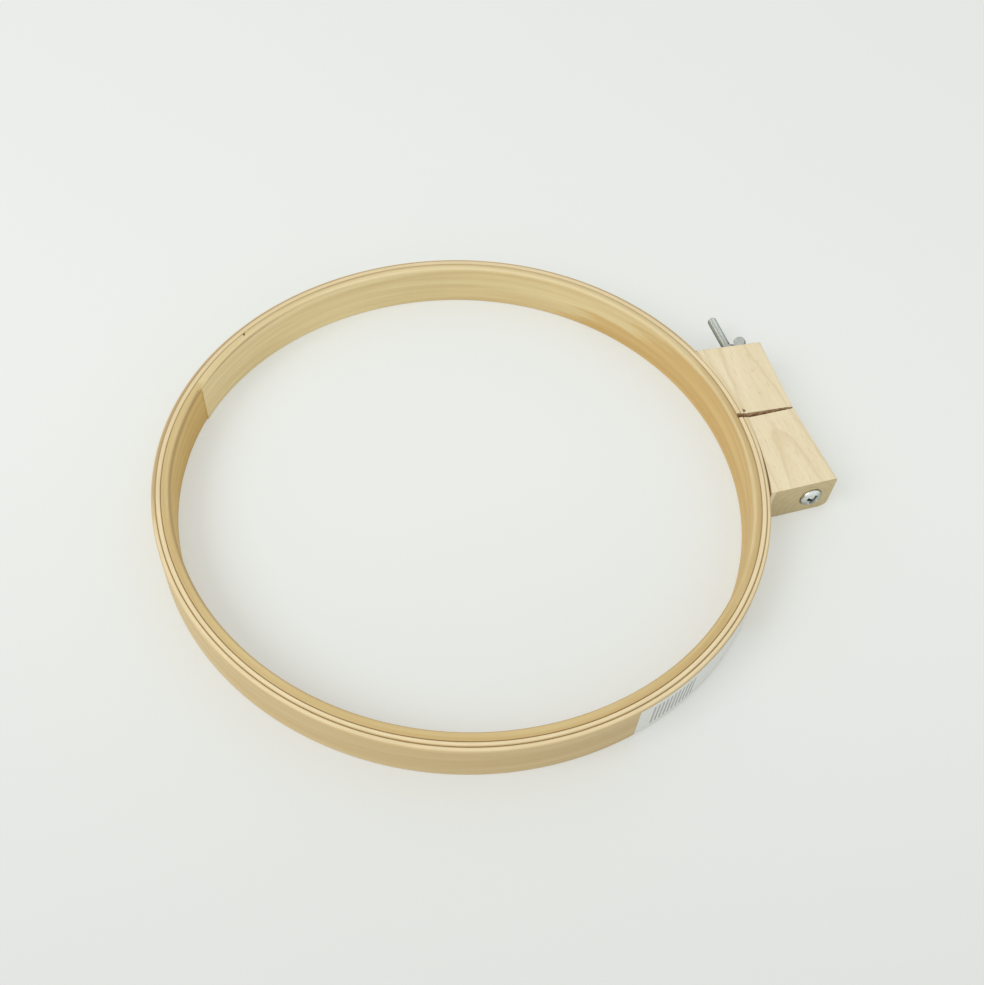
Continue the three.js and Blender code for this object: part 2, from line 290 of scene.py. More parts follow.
def stretched_noise(tree, point, seed, length, width, detail=2.0, rough=0.55):
    """Noise drawn out along the grain, in patches of this length and width. seed moves it."""
    size = put(tree, "ShaderNodeCombineXYZ", {0: length, 1: width, 2: width}).outputs[0]
    scaled = put(tree, "ShaderNodeVectorMath", {0: point, 1: size}, operation="DIVIDE").outputs[0]
    moved = put(tree, "ShaderNodeVectorMath", {0: scaled, 1: seed}, operation="ADD").outputs[0]
    settings = {"Vector": moved, "Scale": 1.0, "Detail": detail, "Roughness": rough}
    return put(tree, "ShaderNodeTexNoise", settings).outputs["Fac"]


tree, given, out = group(
    "Long grain",
    [("Grain", "Vector", None), ("Streak Length", "Float", 0.11),
     ("Streak Width", "Float", 0.0045), ("Seed", "Float", 0.0)],
    [("Streaks", "Float"), ("Lines", "Float"), ("Pores", "Float"), ("Height", "Float")],
)
grain, seed, long = given["Grain"], given["Seed"], given["Streak Length"]
streaks = stretched_noise(tree, grain, seed, long, given["Streak Width"])
lines = stretched_noise(tree, grain, seed, sums(tree, "MULTIPLY", long, LINE_SHARE), LINE_WIDTH)
lines = ramp(tree, lines, *NOISE_SPAN)
pores = ramp(tree, stretched_noise(tree, grain, seed, PORE_LENGTH, PORE_WIDTH, 1.0), *PORE_SPAN)
plug(tree, out["Streaks"], ramp(tree, streaks, *NOISE_SPAN))
plug(tree, out["Lines"], lines)
plug(tree, out["Pores"], pores)
raised = sums(tree, "MULTIPLY", lines, LINE_RISE)
plug(tree, out["Height"], sums(tree, "SUBTRACT", raised, pores))
print("group:", tree.name)

# %% [markdown]
# ## Heartwood in a strip
# A long strip is cut from a plank across its heart, so one end can be golden heartwood and the
# other pale sapwood. Where they meet, the golden part sinks to the strip's lower edge with a
# flame-like border. The group works out how high the border stands at a point along the strip
# and lets noise pull it up and down.

# %% Group: heartwood
BORDER_BEFORE, BORDER_AFTER = 1.25, -0.2  # the border's height, as a share of the strip's
FLAME_LENGTH, FLAME_WIDTH, FLAME_PULL = 40 * MM, 3.4 * MM, 1.3
BORDER_BLUR = -0.14, 0.2
START_BLUR = 4 * MM

tree, given, out = group(
    "Heartwood",
    [("Grain", "Vector", None), ("Starts At", "Float", 0.3), ("Full Until", "Float", 0.7),
     ("Gone By", "Float", 0.9), ("Strip Height", "Float", RING_TOP)],
    [("Gold", "Float")],
)
place = parts(tree, given["Grain"])
border = ramp(tree, place[0], given["Full Until"], given["Gone By"], BORDER_BEFORE, BORDER_AFTER)
flames = stretched_noise(tree, given["Grain"], (5.0, 3.0, 0.0), FLAME_LENGTH, FLAME_WIDTH, 3.0)
waver = sums(tree, "MULTIPLY", sums(tree, "SUBTRACT", flames, 0.5), FLAME_PULL)
share_up = sums(tree, "DIVIDE", place[1], given["Strip Height"])
above = sums(tree, "ADD", share_up, waver)
just_before = sums(tree, "SUBTRACT", given["Starts At"], START_BLUR)
started = ramp(tree, place[0], just_before, given["Starts At"])
under = ramp(tree, sums(tree, "SUBTRACT", border, above), *BORDER_BLUR)
plug(tree, out["Gold"], sums(tree, "MULTIPLY", started, under))
print("group:", tree.name)

# %% [markdown]
# ## Growth rings
# A sawn block shows the tree's yearly rings: arcs on its end face, and lines or pointed arches
# on its long faces. All of them are one shape, a nest of tubes round the heart of the tree, cut
# by the block's faces. So the shader measures each point's distance from the heart, lets it
# wobble a little, and counts rings by it. Every face then agrees with its neighbours.

# %% Group: growth rings
SWAY_LENGTH, SWAY_WIDTH = 12 * MM, 5 * MM
DARKENS, DARKEST = 0.72, 0.93  # shares of a year: late wood darkens slowly and ends at once

tree, given, out = group(
    "Growth rings",
    [("Grain", "Vector", None), ("Heart", "Vector", (0, 0, 0)), ("Tilt", "Float", 0.05),
     ("Ring Width", "Float", 0.0032), ("Wobble", "Float", 0.0014)],
    [("Late Wood", "Float")],
)
from_heart = put(tree, "ShaderNodeVectorMath", {0: given["Grain"], 1: given["Heart"]},
                 operation="SUBTRACT").outputs[0]
away = parts(tree, from_heart)
rise = sums(tree, "MULTIPLY_ADD", away[0], given["Tilt"], away[1])
across = sums(tree, "POWER", away[2], 2.0)
distance = sums(tree, "SQRT", sums(tree, "MULTIPLY_ADD", rise, rise, across))
sway = stretched_noise(tree, given["Grain"], (3.1, 0.7, 5.3), SWAY_LENGTH, SWAY_WIDTH, 3.0)
sway = sums(tree, "MULTIPLY", sums(tree, "SUBTRACT", sway, 0.5), given["Wobble"])
count = sums(tree, "DIVIDE", sums(tree, "ADD", distance, sway), given["Ring Width"])
year = sums(tree, "FRACT", count)
darkening = ramp(tree, year, DARKENS, DARKEST)
ending = ramp(tree, year, DARKEST, 1.0, 1.0, 0.0)
plug(tree, out["Late Wood"], sums(tree, "MULTIPLY", darkening, ending))
print("group:", tree.name)

# %% [markdown]
# ## Scorched saw cuts
# The split is sawn last, in one pass, by a thin blade that rubs in the cut and scorches it. The
# brown lies on the cut faces and creeps a fraction of a millimetre round their edges. Each
# wooden mesh stores how far a point is from the cut, and this group turns that into a broken
# brown mask.

# %% Group: saw scorch
SCORCH_LENGTH, SCORCH_WIDTH = 1.2 * MM, 1.6 * MM
SCORCH_REACH = 0.35, 1.4  # least and most, as shares of the creep
RIDGE_SPAN = 0.35, 0.65

tree, given, out = group(
    "Saw scorch",
    [("Grain", "Vector", None), ("From Cut", "Float", 1.0), ("Creep", "Float", 0.0004)],
    [("Scorch", "Float"), ("Ridges", "Float")],
)
patch = stretched_noise(tree, given["Grain"], (9.0, 2.0, 4.0), SCORCH_LENGTH, SCORCH_WIDTH, 3.0)
reach = sums(tree, "MULTIPLY", ramp(tree, patch, *NOISE_SPAN, *SCORCH_REACH), given["Creep"])
plug(tree, out["Scorch"], ramp(tree, given["From Cut"], 0.0, reach, 1.0, 0.0))
plug(tree, out["Ridges"], ramp(tree, patch, *RIDGE_SPAN))
print("group:", tree.name)

# %% [markdown]
# ## Sanded edges with a painted highlight, and painted shade in grooves
# After gluing, the hoop's edges are run over a sander. It opens the wood to a lighter, cleaner
# surface there, with a painted highlight over it, in a broken line where the sander touched less.
# The grooves, and crests turned away from the lamp, get painted brown shade. The meshes carry one
# mark for both, from 1 for the sanded highlight to -1 for the deepest painted shade, and this
# group splits it and breaks it up.

# %% Group: edge highlight and shade
TOUCH_LENGTH, TOUCH_WIDTH, SKIP_SPAN = 12 * MM, 1.1 * MM, (0.4, 0.62)
FULL_MARK = 0.9  # a mark as high or as low as this shows in full

tree, given, out = group(
    "Edge highlight and shade",
    [("Grain", "Vector", None), ("Mark", "Float", 0.0), ("Evenness", "Float", 0.8)],
    [("Sanded Highlight", "Float"), ("Painted Shade", "Float")],
)
patch = stretched_noise(tree, given["Grain"], (1.0, 6.0, 2.0), TOUCH_LENGTH, TOUCH_WIDTH)
uneven = sums(tree, "SUBTRACT", 1.0, given["Evenness"])
skipped = sums(tree, "MULTIPLY", ramp(tree, patch, *SKIP_SPAN), uneven)
touched = sums(tree, "SUBTRACT", 1.0, skipped)
for name, full in (("Sanded Highlight", FULL_MARK), ("Painted Shade", -FULL_MARK)):
    marked = ramp(tree, given["Mark"], 0.0, full)
    plug(tree, out[name], sums(tree, "MULTIPLY", marked, touched))
print("group:", tree.name)

# %% [markdown]
# ## The wood itself
# All the wood is the same pale, close-grained kind, so one function makes it and each material
# gives its own tones. The order follows the real thing: a base tone, streaks, lines and pores in
# it, then what only this piece has, as extra steps, then the surface: the maker's sanding with a
# painted highlight over it, painted shade in the grooves, and the saw's scorch. The shader stays
# matt because the wood isn't varnished. Every material ends alike, with a bump and a shader, so
# `coat` is a function of its own.

# %% Functions: the last step of a material, and wood
# the crests' lighter sanded wood under a painted highlight
SANDED_HIGHLIGHT = colour(247, 228, 187)
# the brown of the pores, and of the painted shade in grooves
PORE_AND_SHADE_BROWN = colour(152, 114, 72)
SCORCHED = colour(160, 126, 94), colour(216, 184, 146)  # between the saw's ridges, and on them
SCORCH_CREEP = 0.2 * MM
SANDING_HIGHLIGHT_AND_SHADE = 0.75  # how much the sanded highlight and the painted shade hide the wood under them
WOOD_RELIEF = 0.3, 0.05 * MM  # the bump's strength and its depth
WOOD_ROUGHNESS = 0.52, 0.66  # beside the fine lines, and on them
WOOD_SHEEN = 0.35


def coat(tree, tone, rough, height, relief, **plain):
    """Ends a material: a bump, the shader with its plain values, and the output."""
    settings = {"Strength": relief[0], "Distance": relief[1], "Height": height}
    bump = put(tree, "ShaderNodeBump", settings).outputs[0]
    surface = {"Base Color": tone, "Roughness": rough, "Normal": bump}
    shader = put(tree, "ShaderNodeBsdfPrincipled", surface)
    for name, value in plain.items():
        shader.inputs[name.replace("_", " ")].default_value = value
    put(tree, "ShaderNodeOutputMaterial", {"Surface": shader.outputs[0]})


def wood(name, pale, deep, line, size, seed, fine, steps=()):
    """pale, deep and line are tones, size is a streak's length and width, fine is how strongly
    lines and pores show, and steps are extra effects."""
    material, tree = empty_material(name)
    grain = stored(tree, "grain", "Vector")
    long_grain = use(tree, "Long grain", Grain=grain, Streak_Length=size[0], Streak_Width=size[1],
                     Seed=seed)
    tone = mix(tree, long_grain["Streaks"], pale, deep)
    tone = mix(tree, sums(tree, "MULTIPLY", long_grain["Lines"], fine), tone, line)
    tone = mix(tree, sums(tree, "MULTIPLY", long_grain["Pores"], fine), tone, PORE_AND_SHADE_BROWN)
    for step in steps:
        tone = step(tree, grain, tone)
    # the sanded edges with a painted highlight, then painted shade in the grooves and on crests
    # turned from the lamp
    edge = use(tree, "Edge highlight and shade", Grain=grain, Mark=stored(tree, "mark"))
    tone = mix(tree, sums(tree, "MULTIPLY", edge["Sanded Highlight"], SANDING_HIGHLIGHT_AND_SHADE), tone, SANDED_HIGHLIGHT)
    tone = mix(tree, sums(tree, "MULTIPLY", edge["Painted Shade"], SANDING_HIGHLIGHT_AND_SHADE), tone, PORE_AND_SHADE_BROWN)
    scorch = use(tree, "Saw scorch", Grain=grain, From_Cut=stored(tree, "from_cut"),
                 Creep=SCORCH_CREEP)
    tone = mix(tree, scorch["Scorch"], tone, mix(tree, scorch["Ridges"], *SCORCHED))
    ridges = sums(tree, "MULTIPLY", scorch["Ridges"], scorch["Scorch"])
    height = sums(tree, "ADD", long_grain["Height"], ridges)
    rough = ramp(tree, long_grain["Lines"], 0.0, 1.0, *WOOD_ROUGHNESS)
    coat(tree, tone, rough, height, WOOD_RELIEF, Specular_IOR_Level=WOOD_SHEEN)
    return material


print("wood function ready")

# %% [markdown]
# ## What each piece of wood has of its own
# The inner ring turns golden along its length, more on its wall than on its worn top, and its
# wall gets painted light on both sides of its lap, where it gets little of the lamp's light. The
# block shows yearly rings and short flecks, and its end faces, cut across the fibres, are darker.
# Each of these is a small function that makes one step: it takes the tone so far and gives back
# the next.

# %% Extra steps for the wood
WALL_ENDS, TOP_STARTS = RING_TOP - 1.2 * MM, RING_TOP - 0.4 * MM
FLECK_LENGTH, FLECK_WIDTH, FLECK_SPAN = 4.2 * MM, 0.6 * MM, (0.56, 0.72)


def along_strip(*degrees):
    """Places along a ring's strip, from angles."""
    return [math.radians(a) * HOOP_OUTSIDE for a in degrees]


def on_wall(tree, grain):
    """1 on a strip's walls, 0 on its top."""
    return ramp(tree, parts(tree, grain)[1], WALL_ENDS, TOP_STARTS, 1.0, 0.0)


def golden(starts_at, full_until, gone_by, wall_tint, top_tint):
    """Places are angles along the strip, in degrees. The wall is golden from the strip's very
    start, which the lap hides at the inside, and only the top waits for starts_at."""
    start, full, gone = along_strip(starts_at, full_until, gone_by)

    def step(tree, grain, tone):
        wall = on_wall(tree, grain)
        start_here = ramp(tree, wall, 0.0, 1.0, start, 0.0)
        gold = use(tree, "Heartwood", Grain=grain, Starts_At=start_here, Full_Until=full,
                   Gone_By=gone)["Gold"]
        return mix(tree, gold, tone, mix(tree, wall, top_tint, wall_tint), "MULTIPLY")
    return step


def painted_wall_light(starts_at, full_at, tint):
    """Paints light on the wall towards full_at, which can lie on either side of starts_at."""
    start, full = along_strip(starts_at, full_at)

    def step(tree, grain, tone):
        reached = ramp(tree, parts(tree, grain)[0], start, full)
        share = sums(tree, "MULTIPLY", reached, on_wall(tree, grain))
        return mix(tree, share, tone, tint, "MULTIPLY")
    return step


def year_lines(heart, tilt, width, strength, line):
    """Yearly rings round the heart of the tree, in the tone of line."""
    def step(tree, grain, tone):
        late = use(tree, "Growth rings", Grain=grain, Heart=heart, Tilt=tilt,
                   Ring_Width=width)["Late Wood"]
        return mix(tree, sums(tree, "MULTIPLY", late, strength), tone, line)
    return step


def flecks(strength, line):
    """Short dashes along the grain."""
    def step(tree, grain, tone):
        dashes = stretched_noise(tree, grain, (7.0, 1.0, 3.0), FLECK_LENGTH, FLECK_WIDTH)
        return mix(tree, ramp(tree, dashes, *FLECK_SPAN, 0.0, strength), tone, line)
    return step


def darker_ends(tint):
    """Tints the faces that are cut across the fibres."""
    def step(tree, grain, tone):
        return mix(tree, stored(tree, "end_grain"), tone, tint, "MULTIPLY")
    return step


print("extra steps ready")

# %% [markdown]
# ## Three kinds of wood
# The tones are read off the photograph and then tuned in the render, because light changes what
# is seen. Streaks on the rings are long, since a strip shows a plank's side. On the block one
# arch of a yearly ring comes to its point near the saw cut, and the rest run as lines.

# %% Wood materials
inner_ring_wood = wood(
    "inner ring wood", colour(227, 209, 161), colour(213, 190, 139), colour(194, 164, 112),
    size=(0.12, 0.004), seed=4.0, fine=0.15,
    steps=[golden(starts_at=146.5, full_until=352, gone_by=446,
                  wall_tint=(0.89, 0.77, 0.59, 1), top_tint=(0.88, 0.81, 0.69, 1)),
           # painted light on the inner wall, where it gets little of the lamp's light
           painted_wall_light(starts_at=250, full_at=165, tint=(1.1, 1.1, 0.98, 1)),
           painted_wall_light(starts_at=440, full_at=478, tint=(1.19, 1.22, 1.28, 1))],
)
outer_ring_wood = wood(
    "outer ring wood", colour(213, 191, 147), colour(202, 177, 129), colour(184, 152, 104),
    size=(0.14, 0.006), seed=11.0, fine=0.16,
)
BLOCK_TONES = colour(242, 227, 192), colour(237, 220, 183), colour(208, 182, 138)
block_steps = [
    year_lines(heart=(0.0, 1.2 * MM, 9.6 * MM), tilt=0.05, width=3.225 * MM, strength=0.3,
               line=colour(204, 176, 132)),
    flecks(strength=0.24, line=colour(190, 158, 112)),
    darker_ends(tint=(0.7, 0.68, 0.58, 1)),
]
block_woods = {side: wood(f"block wood {name}", *BLOCK_TONES, size=(0.05, 0.003), seed=seed,
                          fine=0.1, steps=block_steps)
               for side, name, seed in ((-1, "near", 20.0), (1, "far", 27.0))}
print("wood materials:", [m.name for m in bpy.data.materials if "wood" in m.name])

# %% [markdown]
# ## Small mesh helpers
# Every piece ends the same way: its faces look outwards, it shades smoothly but for crisp edges,
# and numbers that the shader needs are stored on its points as named attributes.

# %% Helpers that make and finish a mesh
def finish_mesh(obj, sharp=35):
    """Smooth shading with crisp edges, and faces that all look outwards."""
    work = bmesh.new()
    work.from_mesh(obj.data)
    bmesh.ops.recalc_face_normals(work, faces=work.faces)
    work.to_mesh(obj.data)
    work.free()
    obj.data.polygons.foreach_set("use_smooth", [True] * len(obj.data.polygons))
    obj.data.set_sharp_from_angle(angle=math.radians(sharp))
    obj.data.update()


def new_object(name, mesh, material=None):
    """An object in the scene, made of a mesh."""
    obj = bpy.data.objects.new(name, mesh)
    bpy.context.collection.objects.link(obj)
    if material:
        mesh.materials.append(material)
    return obj


def from_bmesh(name, work, material=None):
    """Turns a finished bmesh into an object."""
    bmesh.ops.recalc_face_normals(work, faces=work.faces)
    mesh = bpy.data.meshes.new(name)
    work.to_mesh(mesh)
    work.free()
    return new_object(name, mesh, material)


def new_piece(name, points, faces, material):
    """An object from a list of points and a list of faces."""
    mesh = bpy.data.meshes.new(name)
    mesh.from_pydata(points, [], faces)
    return new_object(name, mesh, material)


def store(obj, name, kind, values):
    """Keeps one number or one vector for each point of a mesh."""
    made = obj.data.attributes.new(name, kind, "POINT")
    field = "vector" if kind == "FLOAT_VECTOR" else "value"
    made.data.foreach_set(field, np.array(values, np.float32).ravel())


def dress(obj, node_names, body=None):
    """Says which solids a piece stands for by hiding them, and attaches it to the body that
    carries it.
    """
    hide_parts(*node_names)
    if body:
        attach(obj, body)


print("mesh helpers ready")

# %% [markdown]
# ## A strip of bent wood
# Each ring is a long strip with rounded edges, bent until its ends meet. Blender could do that
# with a bevelled curve, but then the grain coordinates would be lost. So the section is swept
# here: one rounded outline a step, joined by quads. Handmade rings are never quite round, so all
# of them share one small wander, which keeps them nested.

# %% Functions: wander and section of a strip
SHIFT = -0.16  # in millimetres, all round
WAVES = (1, 0.3, 2.65), (3, 0.3, -0.97), (4, 0.2, -1.9)  # waves a turn, millimetres, start
WALL = 5 * MM  # a flat longer than this is a wall, and its corners' marks don't spread over it
MARK_REACH, MARK_SHARE = 0.4 * MM, 0.3  # how far a corner's mark runs onto a flat, at most


def wander(angle):
    """How far the rings stray from a true circle at an angle, in metres."""
    waves = sum(size * math.sin(count * angle + start) for count, size, start in WAVES)
    return MM * (SHIFT + waves)


def smooth(value, low, high):
    """0 up to low, 1 from high on, and a soft change between them."""
    share = min(max((value - low) / (high - low), 0.0), 1.0)
    return share * share * (3 - 2 * share)


def strip_section(inside, outside, top, rounds, marks, steps=4):
    """A rounded bar's outline as radius, height and mark, anticlockwise from its lower outside.

    rounds, in millimetres, and marks belong to the corners: lower outside, upper outside, upper
    inside, lower inside. A corner's marks are three numbers, for its start, middle and end.
    """
    corners = [(outside, 0, -90), (outside, top, 0), (inside, top, 90), (inside, 0, 180)]
    arcs = []
    for (x, y, start), rounding, mark in zip(corners, rounds, marks):
        rounding *= MM
        x += rounding if x == inside else -rounding
        y += rounding if y == 0 else -rounding
        arc = []
        for share in np.linspace(0, 1, steps + 1):
            bend = math.radians(start + 90 * share)
            here = float(np.interp(share, (0, 0.5, 1), mark))
            arc.append((x + rounding * math.cos(bend), y + rounding * math.sin(bend), here))
        arcs.append(arc)
    points = []
    for arc, following in zip(arcs, arcs[1:] + arcs[:1]):
        points += arc
        a, b = np.array(arc[-1]), np.array(following[0])
        flat = math.hypot(*(b - a)[:2])
        near = min(MARK_REACH, MARK_SHARE * flat) / flat
        for share in (near, 1 - near):
            x, y, mark = a + (b - a) * share
            points.append((x, y, 0.0 if flat > WALL else mark))
    return points


wanders = [wander(math.radians(a)) / MM for a in range(360)]
print(f"wander from {min(wanders):.2f} to {max(wanders):.2f} mm")

# %% [markdown]
# ## Sweeping the section
# `sweep_strip` asks for a section at each angle, bends it to its place and joins it to the one
# before. While it does, it notes for each point the grain coordinates, the edge mark and the
# distance from the saw cut. The two ends are closed with a flat face, the way a saw leaves them.
# Joining rows of points with quads comes back in the screw, the washer and the label.

# %% Functions: join rows of points, sweep a strip round the hoop
def join_rows(rows, around, closed=False):
    """Quads from each loop of points to the next, and from the last to the first if closed."""
    faces = []
    for j in range(rows if closed else rows - 1):
        near, far = j * around, (j + 1) % rows * around
        for i in range(around):
            after = (i + 1) % around
            faces.append((near + i, near + after, far + after, far + i))
    return faces


def sweep_strip(name, angles, section_at, material, cut_at=lambda angle, radius: 1.0):
    """Joins one section an angle into a strip with closed ends."""
    points, grain, marks, from_cut = [], [], [], []
    for angle in angles:
        for radius, height, mark in section_at(angle):
            bent = radius + wander(angle)
            points.append((RING_X + bent * math.cos(angle), bent * math.sin(angle), height))
            grain.append((angle * HOOP_OUTSIDE, height, radius))
            marks.append(mark)
            from_cut.append(cut_at(angle, radius))
    around = len(section_at(angles[0]))
    first, last = range(around), range(len(points) - around, len(points))
    faces = join_rows(len(angles), around) + [tuple(reversed(first)), tuple(last)]
    obj = new_piece(name, points, faces, material)
    store(obj, "grain", "FLOAT_VECTOR", grain)
    store(obj, "mark", "FLOAT", marks)
    store(obj, "from_cut", "FLOAT", from_cut)
    finish_mesh(obj)
    return obj


print("sweep ready")

# %% [markdown]
# ## The inner ring and its lap
# The inner ring is one strip a little longer than its circle. Each end is planed to a long taper,
# the tapers are laid over each other and glued. On the real ring the lap shows twice: a nearly
# upright line on the inner wall, where the last end stops, and a speck of a gap on top where the
# other end was left blunt. The strip below runs a full turn and a bit, and its thickness changes
# at both ends to make that lap.

# %% The lap of the inner ring
TURN = 2 * math.pi
LAP_OPENS = math.radians(149.7) - HOOP_TURN  # the outer taper begins here
LAP_ENDS = math.radians(166.5) - HOOP_TURN  # the inner taper stops here
LAP_EASE = math.radians(14)  # how long the strip takes to grow to its full thickness
BLUNT_END = LAP_OPENS + TURN  # where the strip, one turn on, dives under its own blunt start
SPECK = math.radians(1.1)
END_THICKNESS = 0.38 * MM
BLUNT = 1.2 * MM
GLUE = 0.015 * MM


def lap_line(angle):
    """Radius of the glue line between the two tapers."""
    share = (angle - LAP_OPENS) / (LAP_ENDS - LAP_OPENS)
    outer = INNER_OUTSIDE - BLUNT
    inner = INNER_INSIDE + END_THICKNESS
    return outer + (inner - outer) * min(max(share, 0.0), 1.0)


print(f"lap of {math.degrees(LAP_ENDS - LAP_OPENS):.1f} degrees")

# %% [markdown]
# ## One section of the inner ring
# Its inner wall leans a little: the ring is thicker at its foot. In the lap, the corners that
# touch the other taper stay crisp, so that the two tops read as one surface with a hair line in
# it. Everywhere else the upper inside corner is well rounded, most of all beside the lap, where
# it was sanded by hand. Its crest gets a painted highlight at the back and right, which face the
# lamp, and painted shade at the front and left, which face away from it. Its upper outer edge,
# down in the groove by the outer ring, is painted in shade.

# %% Make the inner ring
FOOT = 0.15 * MM  # how much further in the foot of the inner wall reaches
WORN_AT, WORN_OVER, WORN_MORE = math.radians(175), math.radians(32), 1.2
HIGHLIGHT_SIDE_AT = math.radians(60)  # the middle of the side whose crest gets the painted highlight, on the table
CRISP_IN, CRISP_OUT = 0.05, 0.08  # what is left of the rounding where the tapers touch
SOFT_BEFORE, SOFT_AFTER = 0.002, 0.012  # radians from the lap's end to where it is round again
MOST_ROUND = 0.45  # of the thickness
RING_SECTIONS, SEAM_STEP = 560, 0.004
# painted shade in the groove between neighbouring strips, as an edge mark
GROOVE_SHADE = -0.85


def inner_section(angle):
    """The outline at an angle along the strip, which starts and ends in the lap."""
    inside, outside = INNER_INSIDE, INNER_OUTSIDE
    soft_in = soft_out = 1.0
    if angle < LAP_ENDS + LAP_EASE:
        line = lap_line(angle)
        inside = line - (line - INNER_INSIDE) * smooth(angle, LAP_ENDS, LAP_ENDS + LAP_EASE)
        past = smooth(angle, LAP_ENDS - SOFT_BEFORE, LAP_ENDS + SOFT_AFTER)
        soft_in = CRISP_IN + (1 - CRISP_IN) * past
    if angle > BLUNT_END - 1.5 * SPECK:
        line = lap_line(angle - TURN) - GLUE
        outside += (line - outside) * smooth(angle, BLUNT_END - SPECK, BLUNT_END)
        under = smooth(angle, BLUNT_END - 1.5 * SPECK, BLUNT_END - SPECK)
        soft_out = 1 - (1 - CRISP_OUT) * under
    worn = 0.8 + WORN_MORE * math.exp(-((angle - WORN_AT) / WORN_OVER) ** 2)
    # the crest's painted highlight where it faces the lamp, and painted shade where it faces away
    highlit_side = smooth(math.cos(angle + HOOP_TURN - HIGHLIGHT_SIDE_AT), 0.0, 0.5)
    # painted shade on the upper outer edge, down in the groove by the outer ring
    groove = GROOVE_SHADE * soft_out
    crest = (0.15 + 0.42 * highlit_side) * soft_in
    rim = (-0.5 + 0.75 * highlit_side) * soft_in
    thick = outside - inside
    wanted = (0.4 * soft_out, 0.22 * soft_out, worn * soft_in, 0.4 * soft_in)
    section = strip_section(inside, outside, RING_TOP,
                            [min(r, MOST_ROUND * thick / MM) for r in wanted],
                            [(0, 0, groove), (groove, groove, 0.6 * groove * highlit_side),
                             (crest, rim, min(rim, 0)), (0, 0, 0)])
    leaning = FOOT * max(1 - (inside - INNER_INSIDE) / thick, 0.0)
    return [(r - leaning * (1 - h / RING_TOP) * (outside - r) / thick, h, mark)
            for r, h, mark in section]


even = np.linspace(LAP_OPENS, LAP_ENDS + TURN, RING_SECTIONS)
seam = [LAP_ENDS + SEAM_STEP * d for d in range(-1, 5)]
speck = [BLUNT_END + SPECK * d / 6 for d in range(-9, 1)]
inner_ring = sweep_strip("inner_ring_strip", sorted({float(a) for a in (*even, *seam, *speck)}),
                         inner_section, inner_ring_wood)
dress(inner_ring, ["inner_ring"], "inner_ring")
print("inner ring:", len(inner_ring.data.vertices), "points")

# %% [markdown]
# ## The outer ring
# The outer ring is two thinner strips glued round each other, then sawn through at the block.
# The plies' edges are rounded separately, which leaves a groove between them, painted brown in
# shade. The outer ply's upper outer edge gets a painted highlight at the front and painted shade
# at the back, and the inner ply's painted highlight is weaker at the back. Beside the block, block
# and ply were sanded together, and there the outer ply's edge is nearly square.

# %% Functions: where the saw cut is
GLUE_WANDER = 0.35 * MM
LEAVES_FAR = math.radians(17.2), math.radians(19)  # where the block's far half leaves the ring
MEETS_NEAR = math.radians(346), math.radians(352)  # and where the near half closes onto it


def half_split(radius):
    """Half the width of the saw cut at a distance from the ring's centre."""
    return SPLIT_AT_FACE / 2 + (FACE - radius) * math.tan(LEAN)


def between_plies(angle):
    """The glue line wanders: the outer ply is thicker at the front than at the back."""
    return GLUE_WANDER * math.sin(angle + HOOP_TURN)


def from_the_cut(angle, radius):
    """Distance along the ply to the nearer cut face."""
    turned = min(angle, TURN - angle)
    return max(radius * math.sin(min(turned, 1.0)) - half_split(radius), 0.0)


def beside_block(angle):
    """1 where the block's wood closes onto the ring, 0 away from it."""
    return max(1 - smooth(angle, *LEAVES_FAR), smooth(angle, *MEETS_NEAR))


print("cut is", round(2 * half_split(HOOP_INSIDE) / MM, 2), "mm wide in the ring")

# %% Make the two plies of the outer ring
RING_STEPS = 540
NEAR_CUT = 0.0, 0.15, 0.35, 0.7, 1.2  # extra sections beside the cut, in millimetres
# the side where the plies' edges get painted shade, on the table, and how far it fades
SHADED_SIDE_AT, SHADED_SIDE_SPAN = math.radians(119), (0.1, 0.28)


def ply(name, inside, outside, section_at, nodes):
    """A strip from cut face to cut face. Its end sections lie in the faces of the cut."""
    middle = (inside + outside) / 2
    start = math.asin(half_split(middle) / middle)
    close = [start + d * MM / outside for d in NEAR_CUT]
    far = np.linspace(close[-1], TURN - close[-1], RING_STEPS)[1:-1]
    angles = close + [float(a) for a in far] + [TURN - a for a in reversed(close)]
    obj = sweep_strip(name, angles, section_at, outer_ring_wood, from_the_cut)
    dress(obj, nodes)
    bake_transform(obj)
    print(name, len(obj.data.vertices), "points")


def shaded_side(angle):
    """1 at the back, where the plies' painted highlight gives way to painted shade, and 0 at the
    front.
    """
    return smooth(math.cos(angle + HOOP_TURN - SHADED_SIDE_AT), *SHADED_SIDE_SPAN)


def inner_ply_section(angle):
    """The inner ply: its upper outer edge is one side of the groove."""
    # a painted highlight on the top edges, weaker at the back, and painted shade down in the
    # grooves
    top = 0.85 - 0.25 * shaded_side(angle)
    return strip_section(PLY_INSIDE, PLY_OUTSIDE + between_plies(angle), RING_TOP,
                         (0.3, 0.55, 0.45, 0.5),
                         [(0, 0, -0.8), (-0.8, 0.1, top), (top, 0.2, GROOVE_SHADE), (0, 0, 0)])


def outer_ply_section(angle):
    """The outer ply: square beside the block, with painted shade on its upper outer edge at the
    back.
    """
    # a painted highlight on the upper outer edge at the front, painted shade there at the back,
    # and painted shade in the groove
    top = 0.75 - 1.2 * shaded_side(angle)
    return strip_section(HOOP_INSIDE + between_plies(angle), HOOP_OUTSIDE, HOOP_TOP,
                         (0.5, 0.75 - 0.6 * beside_block(angle), 0.5, 0.3),
                         [(0, 0, 0), (0, 0.2 * top, top), (top, 0, -0.8), (-0.8, 0, 0)])


